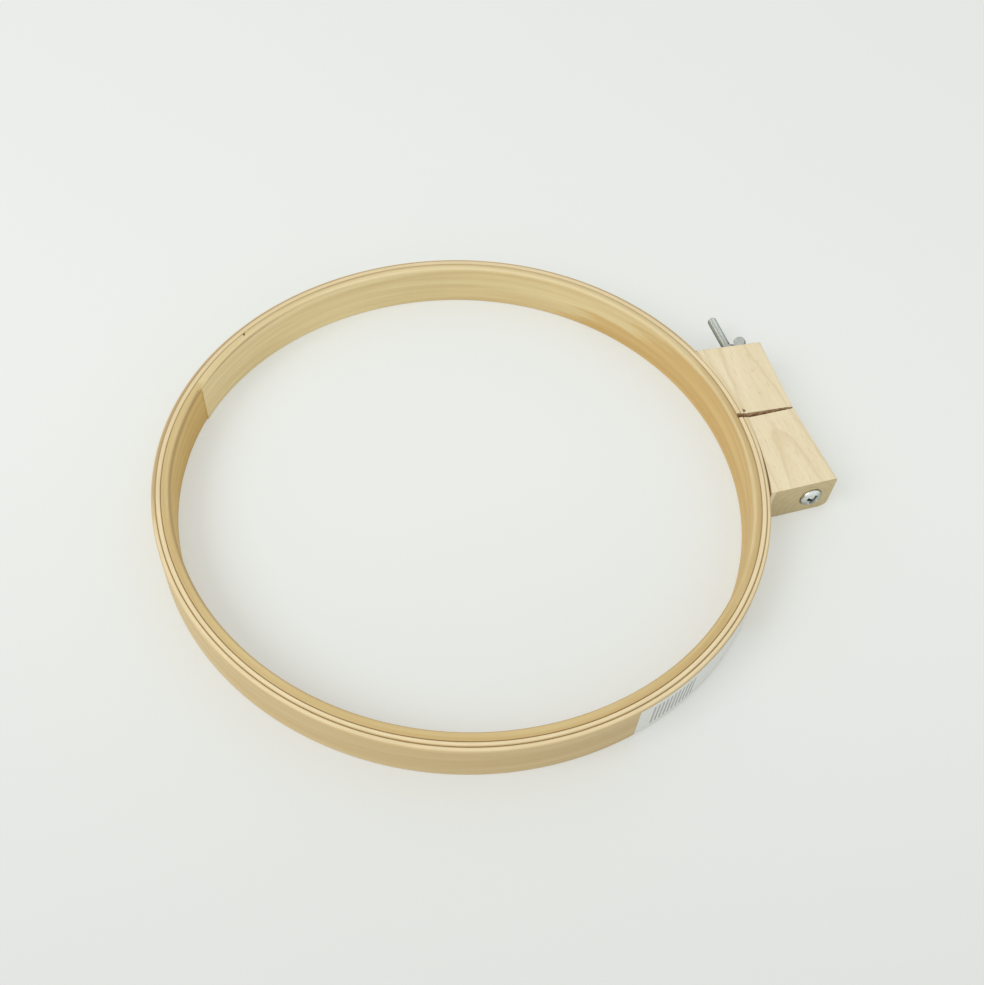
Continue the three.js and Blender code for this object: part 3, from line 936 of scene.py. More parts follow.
ply("outer_ring_inner_ply", PLY_INSIDE, PLY_OUTSIDE, inner_ply_section,
    ["inner_ply_near", "inner_ply_far"])
ply("outer_ring_outer_ply", HOOP_INSIDE, HOOP_OUTSIDE, outer_ply_section,
    ["outer_ply_near", "outer_ply_far"])

# %% [markdown]
# ## The two halves of the block
# The block is one bar of wood, hollowed to sit on the ring, drilled for the screw, glued on and
# then sawn in two with the ring. Each half is built as a grid of points that follows the seat.
# The saw's edge is a little ragged, and a low lip runs up to the ring where both were sanded as
# one. The long outer edges are rounded by moving the grid's first points, the lower one most;
# the edges of the ends and of the cut get a small bevel, and the seat's are left crisp.

# %% Function: half of the block
LOWER_ROUND = 2.7 * MM
UPPER_ROUND = 0.9 * MM
SPREAD = {-1: 0.1 * MM, 1: 0.5 * MM}  # how much wider each half is at its end
ALONG = Vector((math.sin(LEAN), math.cos(LEAN), 0))  # from the cut to the far half's end
INWARDS = Vector((-math.cos(LEAN), math.sin(LEAN), 0))  # from the outer face to the seat
CUT_CORNER = Vector((FACE, SPLIT_AT_FACE / 2, 0))
CLOSE_ROWS = 0, 0.1, 0.25, 0.5, 0.8, 1.05, 1.25, 1.5, 1.9, 2.3, 2.55, 2.75, 3.0  # at the chip
LONG_FROM, LONG_ROWS = 3.4 * MM, 26
WIDE_FROM, WIDE_ROWS = 0.14, 36
LIP, LIP_STARTS, LIP_GAP = 0.36 * MM, 0.955, (0.04 * MM, 0.25 * MM)
RAGGED, RAGGED_SCALE, RAGGED_LESS = 0.14 * MM, 34, 0.25
EASED, EASED_FROM = 0.2 * MM, math.radians(40)


def seat_depth(u, gap):
    """How far in from the outer face the ring's wall is, u along from the cut."""
    start = CUT_CORNER + ALONG * u
    radius = HOOP_OUTSIDE + gap
    b = start.dot(INWARDS)
    return -b - math.sqrt(b * b - start.dot(start) + radius * radius)


def block_point(side, u, share, height, gap):
    """A point of one half: u along from the cut, share of the way from outer face to seat."""
    place = CUT_CORNER + ALONG * u + INWARDS * (share * seat_depth(u, gap))
    place -= INWARDS * SPREAD[side] * (1 - share) * u / BLOCK_HALF
    angle = math.atan2(side * place.y, place.x)
    swell = wander(angle) * share ** 6  # at the seat the block follows the ring's wander
    return Vector((RING_X + place.x + swell * math.cos(angle),
                   side * place.y + swell * math.sin(angle), height))


def rounded_edge(distance, radius):
    """How much a rounded edge takes off a face, at a distance in from the edge."""
    inwards = min(distance / radius, 1.0)
    return radius * (1 - math.sqrt(1 - (1 - inwards) ** 2))


def block_half(name, side, seat_gap):
    """side is -1 for the near half, 1 for the far half. seat_gap gives the glue line's width."""
    lengths = [x * MM for x in CLOSE_ROWS]
    lengths += list(np.linspace(LONG_FROM, HALF_LENGTH[side], LONG_ROWS))
    widths = [LOWER_ROUND / BLOCK_REACH * (1 - math.cos(math.radians(t)))
              for t in range(0, 90, 15)]
    widths += list(np.linspace(WIDE_FROM, 1, WIDE_ROWS))
    heights = [0, 0.5 * BLOCK_TOP, BLOCK_TOP]
    last, deep, top = len(lengths) - 1, len(widths) - 1, len(heights) - 1
    work = bmesh.new()
    grid = {}
    for i, u in enumerate(lengths):
        gap = seat_gap(u)
        lip = LIP * (1 - smooth(gap, *LIP_GAP))
        for j, share in enumerate(widths):
            inwards = share * BLOCK_REACH
            for k, height in enumerate(heights):
                ragged = 0.0
                if i == 0 and k != 1:
                    along_edge = Vector((share * RAGGED_SCALE, 7 * k, 3 * side))
                    ragged = RAGGED * (noise.noise(along_edge) - RAGGED_LESS)
                if k == 0:
                    height += rounded_edge(inwards, LOWER_ROUND)
                if k == top:
                    height += lip * smooth(share, LIP_STARTS, 1)
                    height -= rounded_edge(inwards, UPPER_ROUND)
                grid[i, j, k] = work.verts.new(block_point(side, u - ragged, share, height, gap))

    def sheet(pick, m, n):
        for a in range(m):
            for b in range(n):
                steps = ((a, b), (a + 1, b), (a + 1, b + 1), (a, b + 1))
                work.faces.new([grid[pick(*step)] for step in steps])

    for k in (0, top):
        sheet(lambda a, b, k=k: (a, b, k), last, deep)
    for j in (0, deep):
        sheet(lambda a, b, j=j: (a, j, b), last, top)
    for i in (0, last):
        sheet(lambda a, b, i=i: (i, a, b), deep, top)
    bmesh.ops.recalc_face_normals(work, faces=work.faces)
    left_crisp = [{grid[i, j, k] for i in range(last + 1) for k in range(top + 1)}
                  for j in (0, deep)]
    eased = [e for e in work.edges if e.calc_face_angle(0) > EASED_FROM
             and not any(set(e.verts) <= points for points in left_crisp)]
    bmesh.ops.bevel(work, geom=eased, offset=EASED, segments=2, profile=0.5, affect="EDGES")
    return from_bmesh(name, work, block_woods[side])


print("seat is", round(seat_depth(0, 0) / MM, 2), "mm in at the cut")

# %% [markdown]
# ## Drilling and marking
# The holes are cut with a boolean, as a drill would, along the screw's own line. Then each point
# is told what the wood shader needs: its place along the grain, how near it is to the cut, and
# whether it lies on an end face. A thin line of painted shade runs along the end face's upper
# edge, and painted shade fills the chip where the seat stands well off the ring.

# %% Functions: drill a hole, mark the points
SAWN_EDGE, CUT_EDGE, END_EDGE = 0.16 * MM, 0.16 * MM, 0.05 * MM
CHIPPED_FROM, CHIP_RIM = 0.9 * MM, 0.1 * MM  # a seat that stands off by more is chipped
UNBURNT = 0.3 * MM  # wood outside the cut counts as at least this far from it
ROD_SIDES = 48


def apply_modifiers(obj):
    """Writes what the modifiers make into the mesh itself."""
    bpy.context.view_layer.update()
    made = obj.evaluated_get(bpy.context.evaluated_depsgraph_get())
    mesh = bpy.data.meshes.new_from_object(made)
    obj.modifiers.clear()
    old, obj.data = obj.data, mesh
    bpy.data.meshes.remove(old)
    mesh.name = obj.name


def rod(radius, start, end):
    """A plain cutter along the screw's line, from one place on it to another."""
    work = bmesh.new()
    place = SCREW_LINE @ Matrix.Translation((0, (start + end) / 2, 0))
    place = place @ Matrix.Rotation(math.pi / 2, 4, "X")
    bmesh.ops.create_cone(work, cap_ends=True, segments=ROD_SIDES, radius1=radius, radius2=radius,
                          depth=abs(end - start), matrix=place)
    return from_bmesh("cutter", work)


def combine(obj, others, operation="DIFFERENCE"):
    """Cuts other meshes out of a piece, or joins them to it, and removes them."""
    for other in others:
        step = obj.modifiers.new("combine", "BOOLEAN")
        step.object = other
        step.operation = operation
        step.solver = "EXACT"
    apply_modifiers(obj)
    for other in others:
        bpy.data.objects.remove(other)


def mark_block(obj, side, chip_gap):
    """Stores what the wood shader needs. chip_gap gives the gap to the ring at the seat."""
    along = Vector((ALONG.x, side * ALONG.y, 0))
    corner = Vector((RING_X + CUT_CORNER.x, side * CUT_CORNER.y, 0))
    grain, marks, from_cut, ends = [], [], [], []
    for point in obj.data.vertices:
        u = (point.co - corner).dot(along)
        grain.append((point.co.y, point.co.z, point.co.x - RING_X - HOOP_OUTSIDE))
        from_top, from_end = abs(point.co.z - BLOCK_TOP), max(HALF_LENGTH[side] - u, 0)
        sawn_edge = from_top < SAWN_EDGE and from_end < SAWN_EDGE
        x, y = point.co.x - RING_X, point.co.y
        from_ring = math.hypot(x, y) - HOOP_OUTSIDE - wander(math.atan2(y, x))
        chipped = chip_gap(u) > CHIPPED_FROM and from_ring < chip_gap(u) + CHIP_RIM
        # painted shade: a thin line along the end face's upper edge, and the chip
        marks.append(-1.0 if sawn_edge or chipped else 0.0)
        from_cut.append(0.0 if u < CUT_EDGE and from_top > 0.02 * MM else max(u, UNBURNT))
        ends.append(1.0 if from_end < END_EDGE else 0.0)
    store(obj, "grain", "FLOAT_VECTOR", grain)
    for name, values in (("mark", marks), ("from_cut", from_cut), ("end_grain", ends)):
        store(obj, name, "FLOAT", values)
    finish_mesh(obj, 25)


print("drill and marks ready")

# %% [markdown]
# ## Near half and far half
# On the real hoop the near half has started to lift off the ring at its outer end, which leaves
# a thin dark wedge there, and the far half has a chip beside the cut. The screw passes the near
# half in a close hole with a shallow pocket for its head, and the far half in a loose one,
# because that half swings on it.

# %% Make both halves of the block
HEAD_RADIUS = 4.4 * MM
POCKET_DEPTH, POCKET_ROOM = 0.75 * MM, 0.35 * MM
CLOSE_HOLE, LOOSE_HOLE = 2.4 * MM, 3.1 * MM
CHIP_AT, CHIP_OVER, CHIP_DEPTH = 1.9 * MM, 0.85 * MM, 1.15 * MM


def near_seat_gap(u):
    """The near half lifts off the ring towards its outer end."""
    return 0.06 * MM + 0.75 * MM * u / BLOCK_HALF


def far_seat_gap(u):
    """The far half sits tight but for the chip beside the cut."""
    return 0.02 * MM + CHIP_DEPTH * math.exp(-((u - CHIP_AT) / CHIP_OVER) ** 4)


near_block = block_half("block_near_wood", -1, near_seat_gap)
combine(near_block, [rod(CLOSE_HOLE, -1 * MM, END_Y + 1 * MM),
                     rod(HEAD_RADIUS + POCKET_ROOM, -4 * MM, POCKET_DEPTH)])
mark_block(near_block, -1, lambda u: 0.0)
dress(near_block, ["block_near"], "near_half")

far_block = block_half("block_far_wood", 1, far_seat_gap)
combine(far_block, [rod(LOOSE_HOLE, END_Y - 1 * MM, BETWEEN_ENDS + 2 * MM)])
mark_block(far_block, 1, far_seat_gap)
dress(far_block, ["block_far"], "far_half")
print("block halves:", len(near_block.data.vertices), len(far_block.data.vertices), "points")

# %% [markdown]
# ## Metal finishes
# The screw and washer are rolled or stamped steel with a bright zinc plate: fairly smooth, with
# fine marks round them. The nut is cast, so its skin is duller and mottled. Both are the same
# idea at two scales, a mottled tone with fine scratches, so one group serves them and each
# material sets its own amounts. Metal seen at a slant gets a painted dark reflection, further in
# on the thread, and the cross in the head gets painted shade, so the screw's points say which of
# them lie on the thread and in the cross.

# %% Group and materials: plated metal
tree, given, out = group(
    "Plated skin",
    [("Point", "Vector", None), ("Mottle Size", "Float", 0.0012),
     ("Scratch Size", "Float", 0.00012), ("Seed", "Float", 0.0)],
    [("Mottle", "Float"), ("Scratches", "Float")],
)
SCRATCH_STRETCH, SCRATCH_SPAN = 14.0, (0.55, 0.72)
point, seed, size = given["Point"], given["Seed"], given["Mottle Size"]
mottle = stretched_noise(tree, point, seed, size, size, 4.0, rough=0.6)
plug(tree, out["Mottle"], ramp(tree, mottle, *NOISE_SPAN))
scratch_length = sums(tree, "MULTIPLY", given["Scratch Size"], SCRATCH_STRETCH)
scratches = stretched_noise(tree, point, seed, scratch_length, given["Scratch Size"])
plug(tree, out["Scratches"], ramp(tree, scratches, *SCRATCH_SPAN))

SLANT_REFLECTION_TINT = (0.36, 0.38, 0.37, 1)  # painted reflection: metal seen at a slant is darkened as if it mirrored a dark room
THREAD_SIDES, PLAIN_SIDES = (0.08, 0.42), (0.25, 0.8)  # from where to where the painted reflection darkens it
SCRATCH_AMOUNT, SCRATCH_DEPTH = 0.3, -0.5
# painted shade in the cross of the screw's head
RECESS_SHADE, RECESS_SHADE_AMOUNT = colour(52, 54, 52), 0.85
THREAD_ROUGHER = 0.2
METAL_BUMP = 0.25


def metal(name, light, dark, roughness, mottle_size, bump_depth, seed):
    """light and dark are the tones of the mottle, roughness is how matt each of them is."""
    material, tree = empty_material(name)
    point = put(tree, "ShaderNodeTexCoord").outputs["Object"]
    skin = use(tree, "Plated skin", Point=point, Mottle_Size=mottle_size, Seed=seed)
    tone = mix(tree, skin["Mottle"], light, dark)
    thread = stored(tree, "thread")
    slant = put(tree, "ShaderNodeLayerWeight", {"Blend": 0.5}).outputs["Facing"]
    thread_sides = sums(tree, "MULTIPLY", thread, ramp(tree, slant, *THREAD_SIDES))
    sides = sums(tree, "MAXIMUM", thread_sides, ramp(tree, slant, *PLAIN_SIDES))
    # painted reflection, darker towards the slanting sides
    tone = mix(tree, sides, tone, SLANT_REFLECTION_TINT, "MULTIPLY")
    tone = mix(tree, sums(tree, "MULTIPLY", skin["Scratches"], SCRATCH_AMOUNT), tone, dark)
    # painted shade in the cross of the head
    tone = mix(tree, sums(tree, "MULTIPLY", stored(tree, "recess"), RECESS_SHADE_AMOUNT), tone, RECESS_SHADE)
    rough = ramp(tree, skin["Mottle"], 0.0, 1.0, *roughness)
    rough = sums(tree, "MULTIPLY_ADD", thread, THREAD_ROUGHER, rough)
    height = sums(tree, "MULTIPLY_ADD", skin["Scratches"], SCRATCH_DEPTH, skin["Mottle"])
    coat(tree, tone, rough, height, (METAL_BUMP, bump_depth), Metallic=1.0)
    return material


screw_zinc = metal("bright zinc plate", colour(226, 230, 226), colour(208, 213, 209),
                   roughness=(0.26, 0.34), mottle_size=0.0016, bump_depth=0.000003, seed=2.0)
nut_zinc = metal("cast zinc", colour(184, 186, 182), colour(169, 171, 167),
                 roughness=(0.42, 0.56), mottle_size=0.0012, bump_depth=0.000006, seed=5.0)
brad_steel = metal("plain wire", colour(176, 174, 170), colour(140, 137, 132),
                   roughness=(0.3, 0.45), mottle_size=0.0008, bump_depth=0.000006, seed=8.0)
print("metals: screw, nut, brad")

# %% [markdown]
# ## The screw
# A machine screw is turned round an axis, so its mesh can be a lathe: one profile, repeated at
# equal steps round the circle. The thread is not a ring but a ramp, one pitch up for each turn.
# In the same grid, each point of the threaded part simply takes its radius from how far along and
# how far round it is, which keeps the whole screw one closed skin.

# %% Functions: the thread and the lathe
PITCH = 0.7 * MM
SHANK_RADIUS = 1.97 * MM
THREAD_DEPTH = 0.36 * MM
FLAT, SLOPE = 0.14, 0.72  # of half a pitch: the flat root, and the slope up to a flat crest
UNDER_HEAD = 0.5 * MM  # the head has pulled this far into the wood
HEAD_HEIGHT = 2.6 * MM
HEAD_RIM = 0.7 * MM
SCREW_TIP = UNDER_HEAD + 101.6 * MM
TIP_NARROWER = 0.5 * MM
THREAD_START = 40 * MM
STEPS = 40


def thread_radius(y, turn):
    """A rounded saw-tooth: crest at 0, root at half a pitch, fading in at its start."""
    phase = (y / PITCH - turn) % 1.0
    tooth = min(max((abs(phase - 0.5) * 2 - FLAT) / SLOPE, 0.0), 1.0)
    fade = smooth(y, THREAD_START, THREAD_START + 2 * PITCH)
    radius = SHANK_RADIUS - THREAD_DEPTH * (1 - tooth) * fade
    return min(radius, SHANK_RADIUS - TIP_NARROWER + max(SCREW_TIP - y, 0.0))


def lathe(name, rows, steps, material, hollow=False):
    """Circles along Y, joined: each row is a y and a radius, or a y and a function. The ends are
    closed with fans. A hollow one joins its last circle to its first instead."""
    points = []
    for y, radius in rows:
        for i in range(steps):
            r = radius(y, i / steps) if callable(radius) else radius
            bend = TURN * i / steps
            points.append((r * math.cos(bend), y, r * math.sin(bend)))
    faces = join_rows(len(rows), steps, hollow)
    if not hollow:
        last = len(points) - steps
        points += [(0, rows[0][0], 0), (0, rows[-1][0], 0)]
        for i in range(steps):
            after = (i + 1) % steps
            faces += [(len(points) - 2, after, i), (len(points) - 1, last + i, last + after)]
    return new_piece(name, points, faces, material)


print("thread:", round((SCREW_TIP - THREAD_START) / PITCH), "turns")

# %% [markdown]
# ## Head and cross
# The head's dome and the thread are rows of one lathe. The cross in the head is cut out with two
# tapered blades, as the punch that makes it is tapered. Only then is the screw moved to its line,
# by moving its points, so that the object itself stays at the frame's origin.

# %% Functions: the head's dome and a flat slab
BLADE_REACH, BLADE_DEEP_REACH = 3.7 * MM, 1.1 * MM
BLADE_HALF, BLADE_DEEP_HALF = 0.8 * MM, 0.45 * MM  # half of its thickness, outside and deep
CROSS_FLOOR = UNDER_HEAD - 0.5 * MM
CROSS_TURN = math.radians(26)


def dome(radius):
    """Where the head's rounded top is, at a distance from its middle."""
    share = math.sqrt(max(1 - (radius / HEAD_RADIUS) ** 2, 0.0))
    return UNDER_HEAD - HEAD_RIM - (HEAD_HEIGHT - HEAD_RIM) * share


def slab(name, corners):
    """An outline in x and y with half a thickness at each corner, as a solid about z = 0."""
    work = bmesh.new()
    low, high = [[work.verts.new((x, y, side * half)) for x, y, half in corners]
                 for side in (-1, 1)]
    work.faces.new(low)
    work.faces.new(list(reversed(high)))
    for i in range(len(corners)):
        after = (i + 1) % len(corners)
        work.faces.new([low[i], high[i], high[after], low[after]])
    return from_bmesh(name, work)


def blade(turn):
    """One bar of the cross: long and thick at the dome, tapering down into the head."""
    outer = UNDER_HEAD - HEAD_HEIGHT - 0.5 * MM
    made = slab("blade", [(-BLADE_REACH, outer, BLADE_HALF), (BLADE_REACH, outer, BLADE_HALF),
                          (BLADE_DEEP_REACH, CROSS_FLOOR, BLADE_DEEP_HALF),
                          (-BLADE_DEEP_REACH, CROSS_FLOOR, BLADE_DEEP_HALF)])
    made.data.transform(Matrix.Rotation(turn, 4, "Y"))
    return made


print("the dome is", round((dome(HEAD_RADIUS) - dome(0)) / MM, 2), "mm high")

# %% Make the screw
DOME_ROWS, ROWS_A_PITCH = 10, 7
FILLET, EDGE = 0.2 * MM, 0.12 * MM
RECESS_FROM, RECESS_TO = 0.2 * MM, UNDER_HEAD - 0.3 * MM

circles = [HEAD_RADIUS * math.sin(math.pi / 2 * i / DOME_ROWS) for i in range(1, DOME_ROWS + 1)]
rows = [(dome(radius), radius) for radius in circles]
rows += [(UNDER_HEAD - EDGE, HEAD_RADIUS), (UNDER_HEAD, HEAD_RADIUS - EDGE),
         (UNDER_HEAD + 0.01 * MM, SHANK_RADIUS + FILLET),
         (UNDER_HEAD + 0.25 * MM, SHANK_RADIUS), (THREAD_START, SHANK_RADIUS)]
step = PITCH / ROWS_A_PITCH
rows += [(float(y), thread_radius) for y in np.arange(THREAD_START + step, SCREW_TIP, step)]
rows.append((SCREW_TIP, SHANK_RADIUS - TIP_NARROWER - 0.05 * MM))
screw = lathe("clamp_screw_threaded", rows, STEPS, screw_zinc)
combine(screw, [blade(CROSS_TURN), blade(CROSS_TURN + math.pi / 2)])
threaded, sunk = [], []
for point in screw.data.vertices:
    x, y, z = point.co
    threaded.append(1.0 if y > THREAD_START else 0.0)
    sunk.append(1.0 if y - dome(math.hypot(x, z)) > RECESS_FROM and y < RECESS_TO else 0.0)
store(screw, "thread", "FLOAT", threaded)
store(screw, "recess", "FLOAT", sunk)
screw.data.transform(SCREW_LINE)
finish_mesh(screw, 40)
dress(screw, ["clamp_screw"], "near_half")
print("screw:", len(screw.data.vertices), "points")

# %% [markdown]
# ## The washer
# A washer is stamped out of sheet: its upper edge is drawn slightly round by the punch and its
# lower edge is crisp. A few circles are enough for that, joined into a closed ring by the same
# lathe. It lies on the far end face, which leans a little under it.

# %% Make the washer
SEAT_GAP = 0.3 * MM  # the solids keep this far apart, and the pieces follow them
WASHER_RADIUS = 6 * MM
WASHER_SEAT = BETWEEN_ENDS + WASHER_RADIUS * math.tan(LEAN + SCREW_LEAN) + SEAT_GAP
WASHER_TOP = WASHER_SEAT + 1 * MM
BORE, BORE_EASE = 2.25 * MM, 0.15 * MM
DRAWN_IN, DRAWN_MIDDLE = 0.25 * MM, 0.08 * MM

washer = lathe("washer_stamped", [
    (WASHER_SEAT, WASHER_RADIUS), (WASHER_TOP - DRAWN_IN, WASHER_RADIUS),
    (WASHER_TOP - DRAWN_MIDDLE, WASHER_RADIUS - DRAWN_MIDDLE),
    (WASHER_TOP, WASHER_RADIUS - DRAWN_IN), (WASHER_TOP, BORE + BORE_EASE),
    (WASHER_TOP - BORE_EASE, BORE), (WASHER_SEAT, BORE),
], 64, screw_zinc, hollow=True)
washer.data.transform(SCREW_LINE)
finish_mesh(washer, 30)
dress(washer, ["flat_washer"], "washer")
print("washer:", round(2 * WASHER_RADIUS / MM, 1), "mm across")

# %% [markdown]
# ## The wing nut
# The nut is cast, so nothing on it is crisp: hub and wings flow into each other. That is hard to
# draw as quads and easy to sculpt: the parts are joined by a boolean, rebuilt as an even skin of
# small voxels, and smoothed. The bore is cut last, as a tap would.

# %% Make the wing nut
NUT_SEAT = WASHER_TOP + SEAT_GAP
WING_RISES = math.radians(35)  # how far the wing at the block's outer side points above level
WING_REACH, WING_TIP, WING_CENTRE, WING_THICK = 8.4 * MM, 2.7 * MM, 3.8 * MM, 1.9 * MM
WING_FOOT, WING_NECK, WING_CORE = 0.7 * MM, 2.6 * MM, 2.4 * MM  # heights over the seat
HUB_FOOT, HUB_TOP, HUB_LENGTH = 4.0 * MM, 3.3 * MM, 4.2 * MM
CAST_VOXEL, CAST_SMOOTHING = 0.17 * MM, 7


def wing(side):
    """One flat wing: a foot on the hub, a round tip, and a hollow back to the hub."""
    shape = [(0.0, WING_FOOT), (HUB_FOOT, WING_FOOT)]
    for degrees in range(-60, 136, 15):
        bend = math.radians(degrees)
        shape.append((WING_REACH - WING_TIP + WING_TIP * math.cos(bend),
                      WING_CENTRE + WING_TIP * math.sin(bend)))
    shape += [(HUB_TOP, WING_NECK), (0.0, WING_CORE)]
    return slab("wing", [(side * x, y, WING_THICK / 2) for x, y in shape])


nut = lathe("wing_nut_cast", [(0.0, HUB_FOOT), (HUB_LENGTH, HUB_TOP)], 48, nut_zinc)
combine(nut, [wing(-1), wing(1)], "UNION")
skin = nut.modifiers.new("skin", "REMESH")
skin.mode = "VOXEL"
skin.voxel_size = CAST_VOXEL
soften = nut.modifiers.new("soften", "SMOOTH")
soften.factor = 0.5
soften.iterations = CAST_SMOOTHING
apply_modifiers(nut)
nut_place = SCREW_LINE @ Matrix.Translation((0, NUT_SEAT, 0))
nut.data.transform(nut_place @ Matrix.Rotation(-WING_RISES, 4, "Y"))
combine(nut, [rod(SHANK_RADIUS + 0.1 * MM, NUT_SEAT - 2 * MM, NUT_SEAT + 12 * MM)])
nut.data.materials.clear()
nut.data.materials.append(nut_zinc)
finish_mesh(nut, 50)
dress(nut, ["wing_nut"], "nut")
print("wing nut:", len(nut.data.vertices), "points")

# %% [markdown]
# ## The brads
# Four small nails hold the block's halves to the ring from inside, driven flush. Only their
# slightly domed heads and, in a cut-away, their shanks could be seen. Each is a short lathe about
# its own line, set at the place of its solid in the frame.

# %% Make the four brads
BRAD_HEAD = (0.0, 0.45), (0.03, 0.85), (0.12, 1.15), (0.32, 1.18), (0.5, 1.1)  # y, radius in mm
BRAD_SHANK = (0.52, 0.6), (12.6, 0.6), (13.7, 0.12)
PROUD = 0.02 * MM  # how far a head stands out of the inner ply

for node in ("brad_near_1", "brad_near_2", "brad_far_1", "brad_far_2"):
    low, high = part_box(node)
    middle = (low + high) / 2
    angle = math.atan2(middle.y, middle.x - RING_X)
    head = PLY_INSIDE + wander(angle) - PROUD
    rows = [(y * MM, r * MM) for y, r in BRAD_HEAD + BRAD_SHANK]
    brad = lathe(node + "_nail", rows, 20, brad_steel)
    aim = Matrix.Rotation(angle - math.pi / 2, 4, "Z") @ Matrix.Translation((0, head, 0))
    brad.data.transform(Matrix.Translation((RING_X, 0, middle.z)) @ aim)
    finish_mesh(brad, 40)
    dress(brad, [node], "near_half" if "near" in node else "far_half")
    print(brad.name, "at", round(math.degrees(angle), 1), "degrees")

# %% [markdown]
# ## The paper label
# A white label is stuck on the outer wall. It is a thin sheet that follows the ring, so it is
# swept like a strip, with its right end lifted a touch where the glue let go. Its print is left
# generic: a row of equal bars. The shader draws them from the sheet's own coordinates.

# %% Group and material: paper with equal bars
tree, given, out = group(
    "Equal bars",
    [("Along", "Float", 0.0), ("Up", "Float", 0.0), ("First", "Float", 0.0057),
     ("Last", "Float", 0.0266), ("Pitch", "Float", 0.0019)],
    [("Ink", "Float")],
)
BLUR = 0.2 * MM
BARS_FOOT, BARS_TOP = 2.2 * MM, 14 * MM  # over the label's lower edge
BAR_EDGE = 0.18, 0.3  # where in a pitch a bar begins


def between(tree, value, low, high):
    """1 between two places and 0 outside them, with soft borders."""
    rises = ramp(tree, value, low, sums(tree, "ADD", low, BLUR))
    falls = ramp(tree, value, high, sums(tree, "ADD", high, BLUR), 1.0, 0.0)
    return sums(tree, "MULTIPLY", rises, falls)


stripe = sums(tree, "PINGPONG", given["Along"], sums(tree, "MULTIPLY", given["Pitch"], 0.5))
bars = ramp(tree, sums(tree, "DIVIDE", stripe, given["Pitch"]), *BAR_EDGE)
row = between(tree, given["Along"], given["First"], given["Last"])
band = between(tree, given["Up"], BARS_FOOT, BARS_TOP)
plug(tree, out["Ink"], sums(tree, "MULTIPLY", bars, sums(tree, "MULTIPLY", row, band)))

PAPER = colour(232, 232, 228), colour(222, 222, 218)
PAPER_ROUGHNESS = 0.45, 0.6
PAPER_RELIEF = 0.3, 0.03 * MM
FIBRE_LENGTH, FIBRE_WIDTH = 0.9 * MM, 0.4 * MM
INK, INK_STRENGTH = colour(158, 160, 156), (0.7, 0.95)

label_paper, tree = empty_material("label paper")
sheet_place = stored(tree, "sheet", "Vector")
place = parts(tree, sheet_place)
fibre = stretched_noise(tree, sheet_place, (2.0, 8.0, 1.0), FIBRE_LENGTH, FIBRE_WIDTH, 3.0)
ink = use(tree, "Equal bars", Along=place[0], Up=place[1])["Ink"]
faded = sums(tree, "MULTIPLY", ink, ramp(tree, fibre, *NOISE_SPAN, *INK_STRENGTH))
tone = mix(tree, faded, mix(tree, fibre, *PAPER), INK)
coat(tree, tone, ramp(tree, fibre, 0.0, 1.0, *PAPER_ROUGHNESS), fibre, PAPER_RELIEF)
print("label material ready")

# %% Make the label
LABEL_START = math.radians(-75)
LABEL_LENGTH = 63 * MM
GLUE_SIDE, PRINT_SIDE = 0.03 * MM, 0.14 * MM  # the paper's two sides, over the wall
LIFT, LIFTS_FROM = 0.35 * MM, 0.93  # of its lower right corner
LABEL_STEPS, LABEL_ROWS = 90, 8

label_low, label_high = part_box("paper_label")
upwards = [(j / LABEL_ROWS, GLUE_SIDE) for j in range(LABEL_ROWS + 1)]
downwards = [(share, PRINT_SIDE) for share, _ in reversed(upwards)]
points, places = [], []
for i in range(LABEL_STEPS + 1):
    along = i / LABEL_STEPS
    angle = LABEL_START + LABEL_LENGTH / HOOP_OUTSIDE * along
    for up, side in upwards + downwards:
        height = (label_high.z - label_low.z) * up
        r = HOOP_OUTSIDE + wander(angle) + LIFT * smooth(along, LIFTS_FROM, 1) * (1 - up) ** 1.5
        r += side
        points.append((RING_X + r * math.cos(angle), r * math.sin(angle), label_low.z + height))
        places.append((along * LABEL_LENGTH, height, side))
around = len(upwards + downwards)
faces = join_rows(LABEL_STEPS + 1, around)
for end in (0, LABEL_STEPS * around):
    faces += [(end + j, end + j + 1, end + around - 2 - j, end + around - 1 - j)
              for j in range(LABEL_ROWS)]
label = new_piece("label_sheet", points, faces, label_paper)
store(label, "sheet", "FLOAT_VECTOR", places)
finish_mesh(label, 35)
dress(label, ["paper_label"], "near_half")
print("label:", round(LABEL_LENGTH / MM), "mm long")

# %% [markdown]
# ## The floor
# The hoop lies on a plain pale cloth. It reads as an even off-white, with painted shade that
# greys it a little towards the viewer. One large disc is enough. The photograph's bright tones
# are pressed together, which makes shadows on the cloth faint. So to the camera, and in metal,
# two fifths of the cloth is its own even brightness, and the rest shows the hoop's soft shadow.
# Far from the hoop all of it is even.

# %% Make the floor
# the cloth's front tone carries painted shade, greying it towards the viewer
CLOTH_FRONT_PAINTED_SHADE, CLOTH_BACK = colour(225, 226, 223), colour(239, 241, 237)
FRONT_AT, BACK_AT = -0.3, 0.05  # metres from the hoop's middle, away from the viewer
CLOUD, CLOUD_AMOUNT, CLOUD_SCALE = colour(214, 216, 212), 0.06, 9.0
OWN_BRIGHTNESS = 0.98
EVEN_FROM, EVEN_AT, EVEN_SHARES = 0.45, 1.6, (0.4, 1.0)  # metres off, and the shares there
REACH, CORNERS = 9.0, 64
BELOW = 0.02 * MM


def seen_directly(tree):
    """1 for what the camera sees, also in a mirror or through glass, and 0 for all other light."""
    path = put(tree, "ShaderNodeLightPath").outputs
    mirrored = sums(tree, "MAXIMUM", path["Is Glossy Ray"], path["Is Transmission Ray"])
    return sums(tree, "MAXIMUM", path["Is Camera Ray"], mirrored)


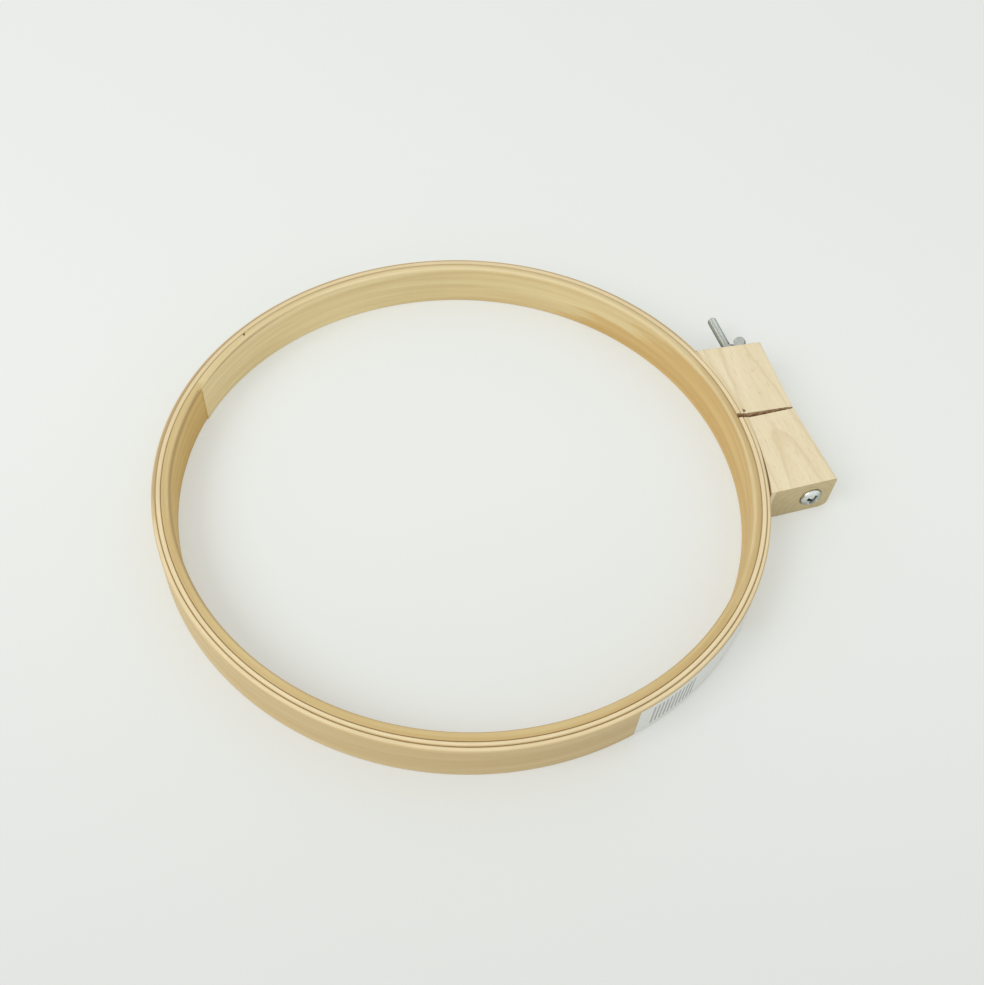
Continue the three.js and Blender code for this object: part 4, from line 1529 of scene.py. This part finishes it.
floor_pale, tree = empty_material("pale floor")
point = put(tree, "ShaderNodeTexCoord").outputs["Object"]
cloud = put(tree, "ShaderNodeTexNoise",
            {"Vector": point, "Scale": CLOUD_SCALE, "Detail": 3.0}).outputs["Fac"]
viewing = TABLE_TO_HOOP.to_3x3() @ Vector((0, 1, 0))
depth = put(tree, "ShaderNodeVectorMath", {0: point, 1: viewing}, operation="DOT_PRODUCT")
# painted shade towards the viewer
cloth = mix(tree, ramp(tree, depth.outputs["Value"], FRONT_AT, BACK_AT), CLOTH_FRONT_PAINTED_SHADE, CLOTH_BACK)
tone = mix(tree, sums(tree, "MULTIPLY", cloud, CLOUD_AMOUNT), cloth, CLOUD)
matt = put(tree, "ShaderNodeBsdfPrincipled", {"Base Color": tone, "Roughness": 0.9})
matt.inputs["Specular IOR Level"].default_value = 0.1
bright = put(tree, "ShaderNodeEmission", {"Color": tone, "Strength": OWN_BRIGHTNESS})
far_off = put(tree, "ShaderNodeVectorMath", {0: point}, operation="LENGTH").outputs["Value"]
even = ramp(tree, far_off, EVEN_FROM, EVEN_AT, *EVEN_SHARES)
share = sums(tree, "MULTIPLY", seen_directly(tree), even)
cloth = put(tree, "ShaderNodeMixShader", {0: share, 1: matt.outputs[0], 2: bright.outputs[0]})
put(tree, "ShaderNodeOutputMaterial", {"Surface": cloth.outputs[0]})
bends = [TURN * i / CORNERS for i in range(CORNERS)]
rim = [(REACH * math.cos(bend), REACH * math.sin(bend), 0) for bend in bends]
floor = new_piece("floor", rim, [tuple(range(CORNERS))], floor_pale)
floor.location.z = -BELOW
print("floor", 2 * REACH, "m across")

# %% [markdown]
# ## Light
# The photograph has the soft light of a bright room. The only clear shadow lies inside the hoop,
# behind its left front, and is as wide as the wall is high. So an even world gives most of the
# light, and one large lamp stands at the left front, halfway up. What the camera and shiny metal
# see behind everything is plain white, while the light on the hoop stays plain and even.

# %% Light the hoop
LAMP_PLACE, LAMP_SIZE, LAMP_POWER = Vector((-0.93, -0.65, 1.13)), 0.9, 9.0
ROOM_TINT = (0.98, 1.0, 0.99, 1)
ROOM_LIGHT, ROOM_SEEN = 0.75, 1.0  # how bright the room is on the hoop, and in the picture

lamp = bpy.data.objects.new("window", bpy.data.lights.new("window", "AREA"))
lamp.data.size = LAMP_SIZE
lamp.data.energy = LAMP_POWER
aim = (-LAMP_PLACE).to_track_quat("-Z", "Y").to_matrix().to_4x4()
lamp.matrix_world = TABLE_TO_HOOP @ (Matrix.Translation(LAMP_PLACE) @ aim)
bpy.context.collection.objects.link(lamp)

world = bpy.data.worlds.new("room")
bpy.context.scene.world = world
world.use_nodes = True
tree = world.node_tree
tree.nodes.clear()
strength = ramp(tree, seen_directly(tree), 0.0, 1.0, ROOM_LIGHT, ROOM_SEEN)
background = put(tree, "ShaderNodeBackground", {"Color": ROOM_TINT, "Strength": strength})
put(tree, "ShaderNodeOutputWorld", {"Surface": background.outputs[0]})
bpy.context.scene.view_settings.view_transform = "Standard"
print("one lamp and a bright room")
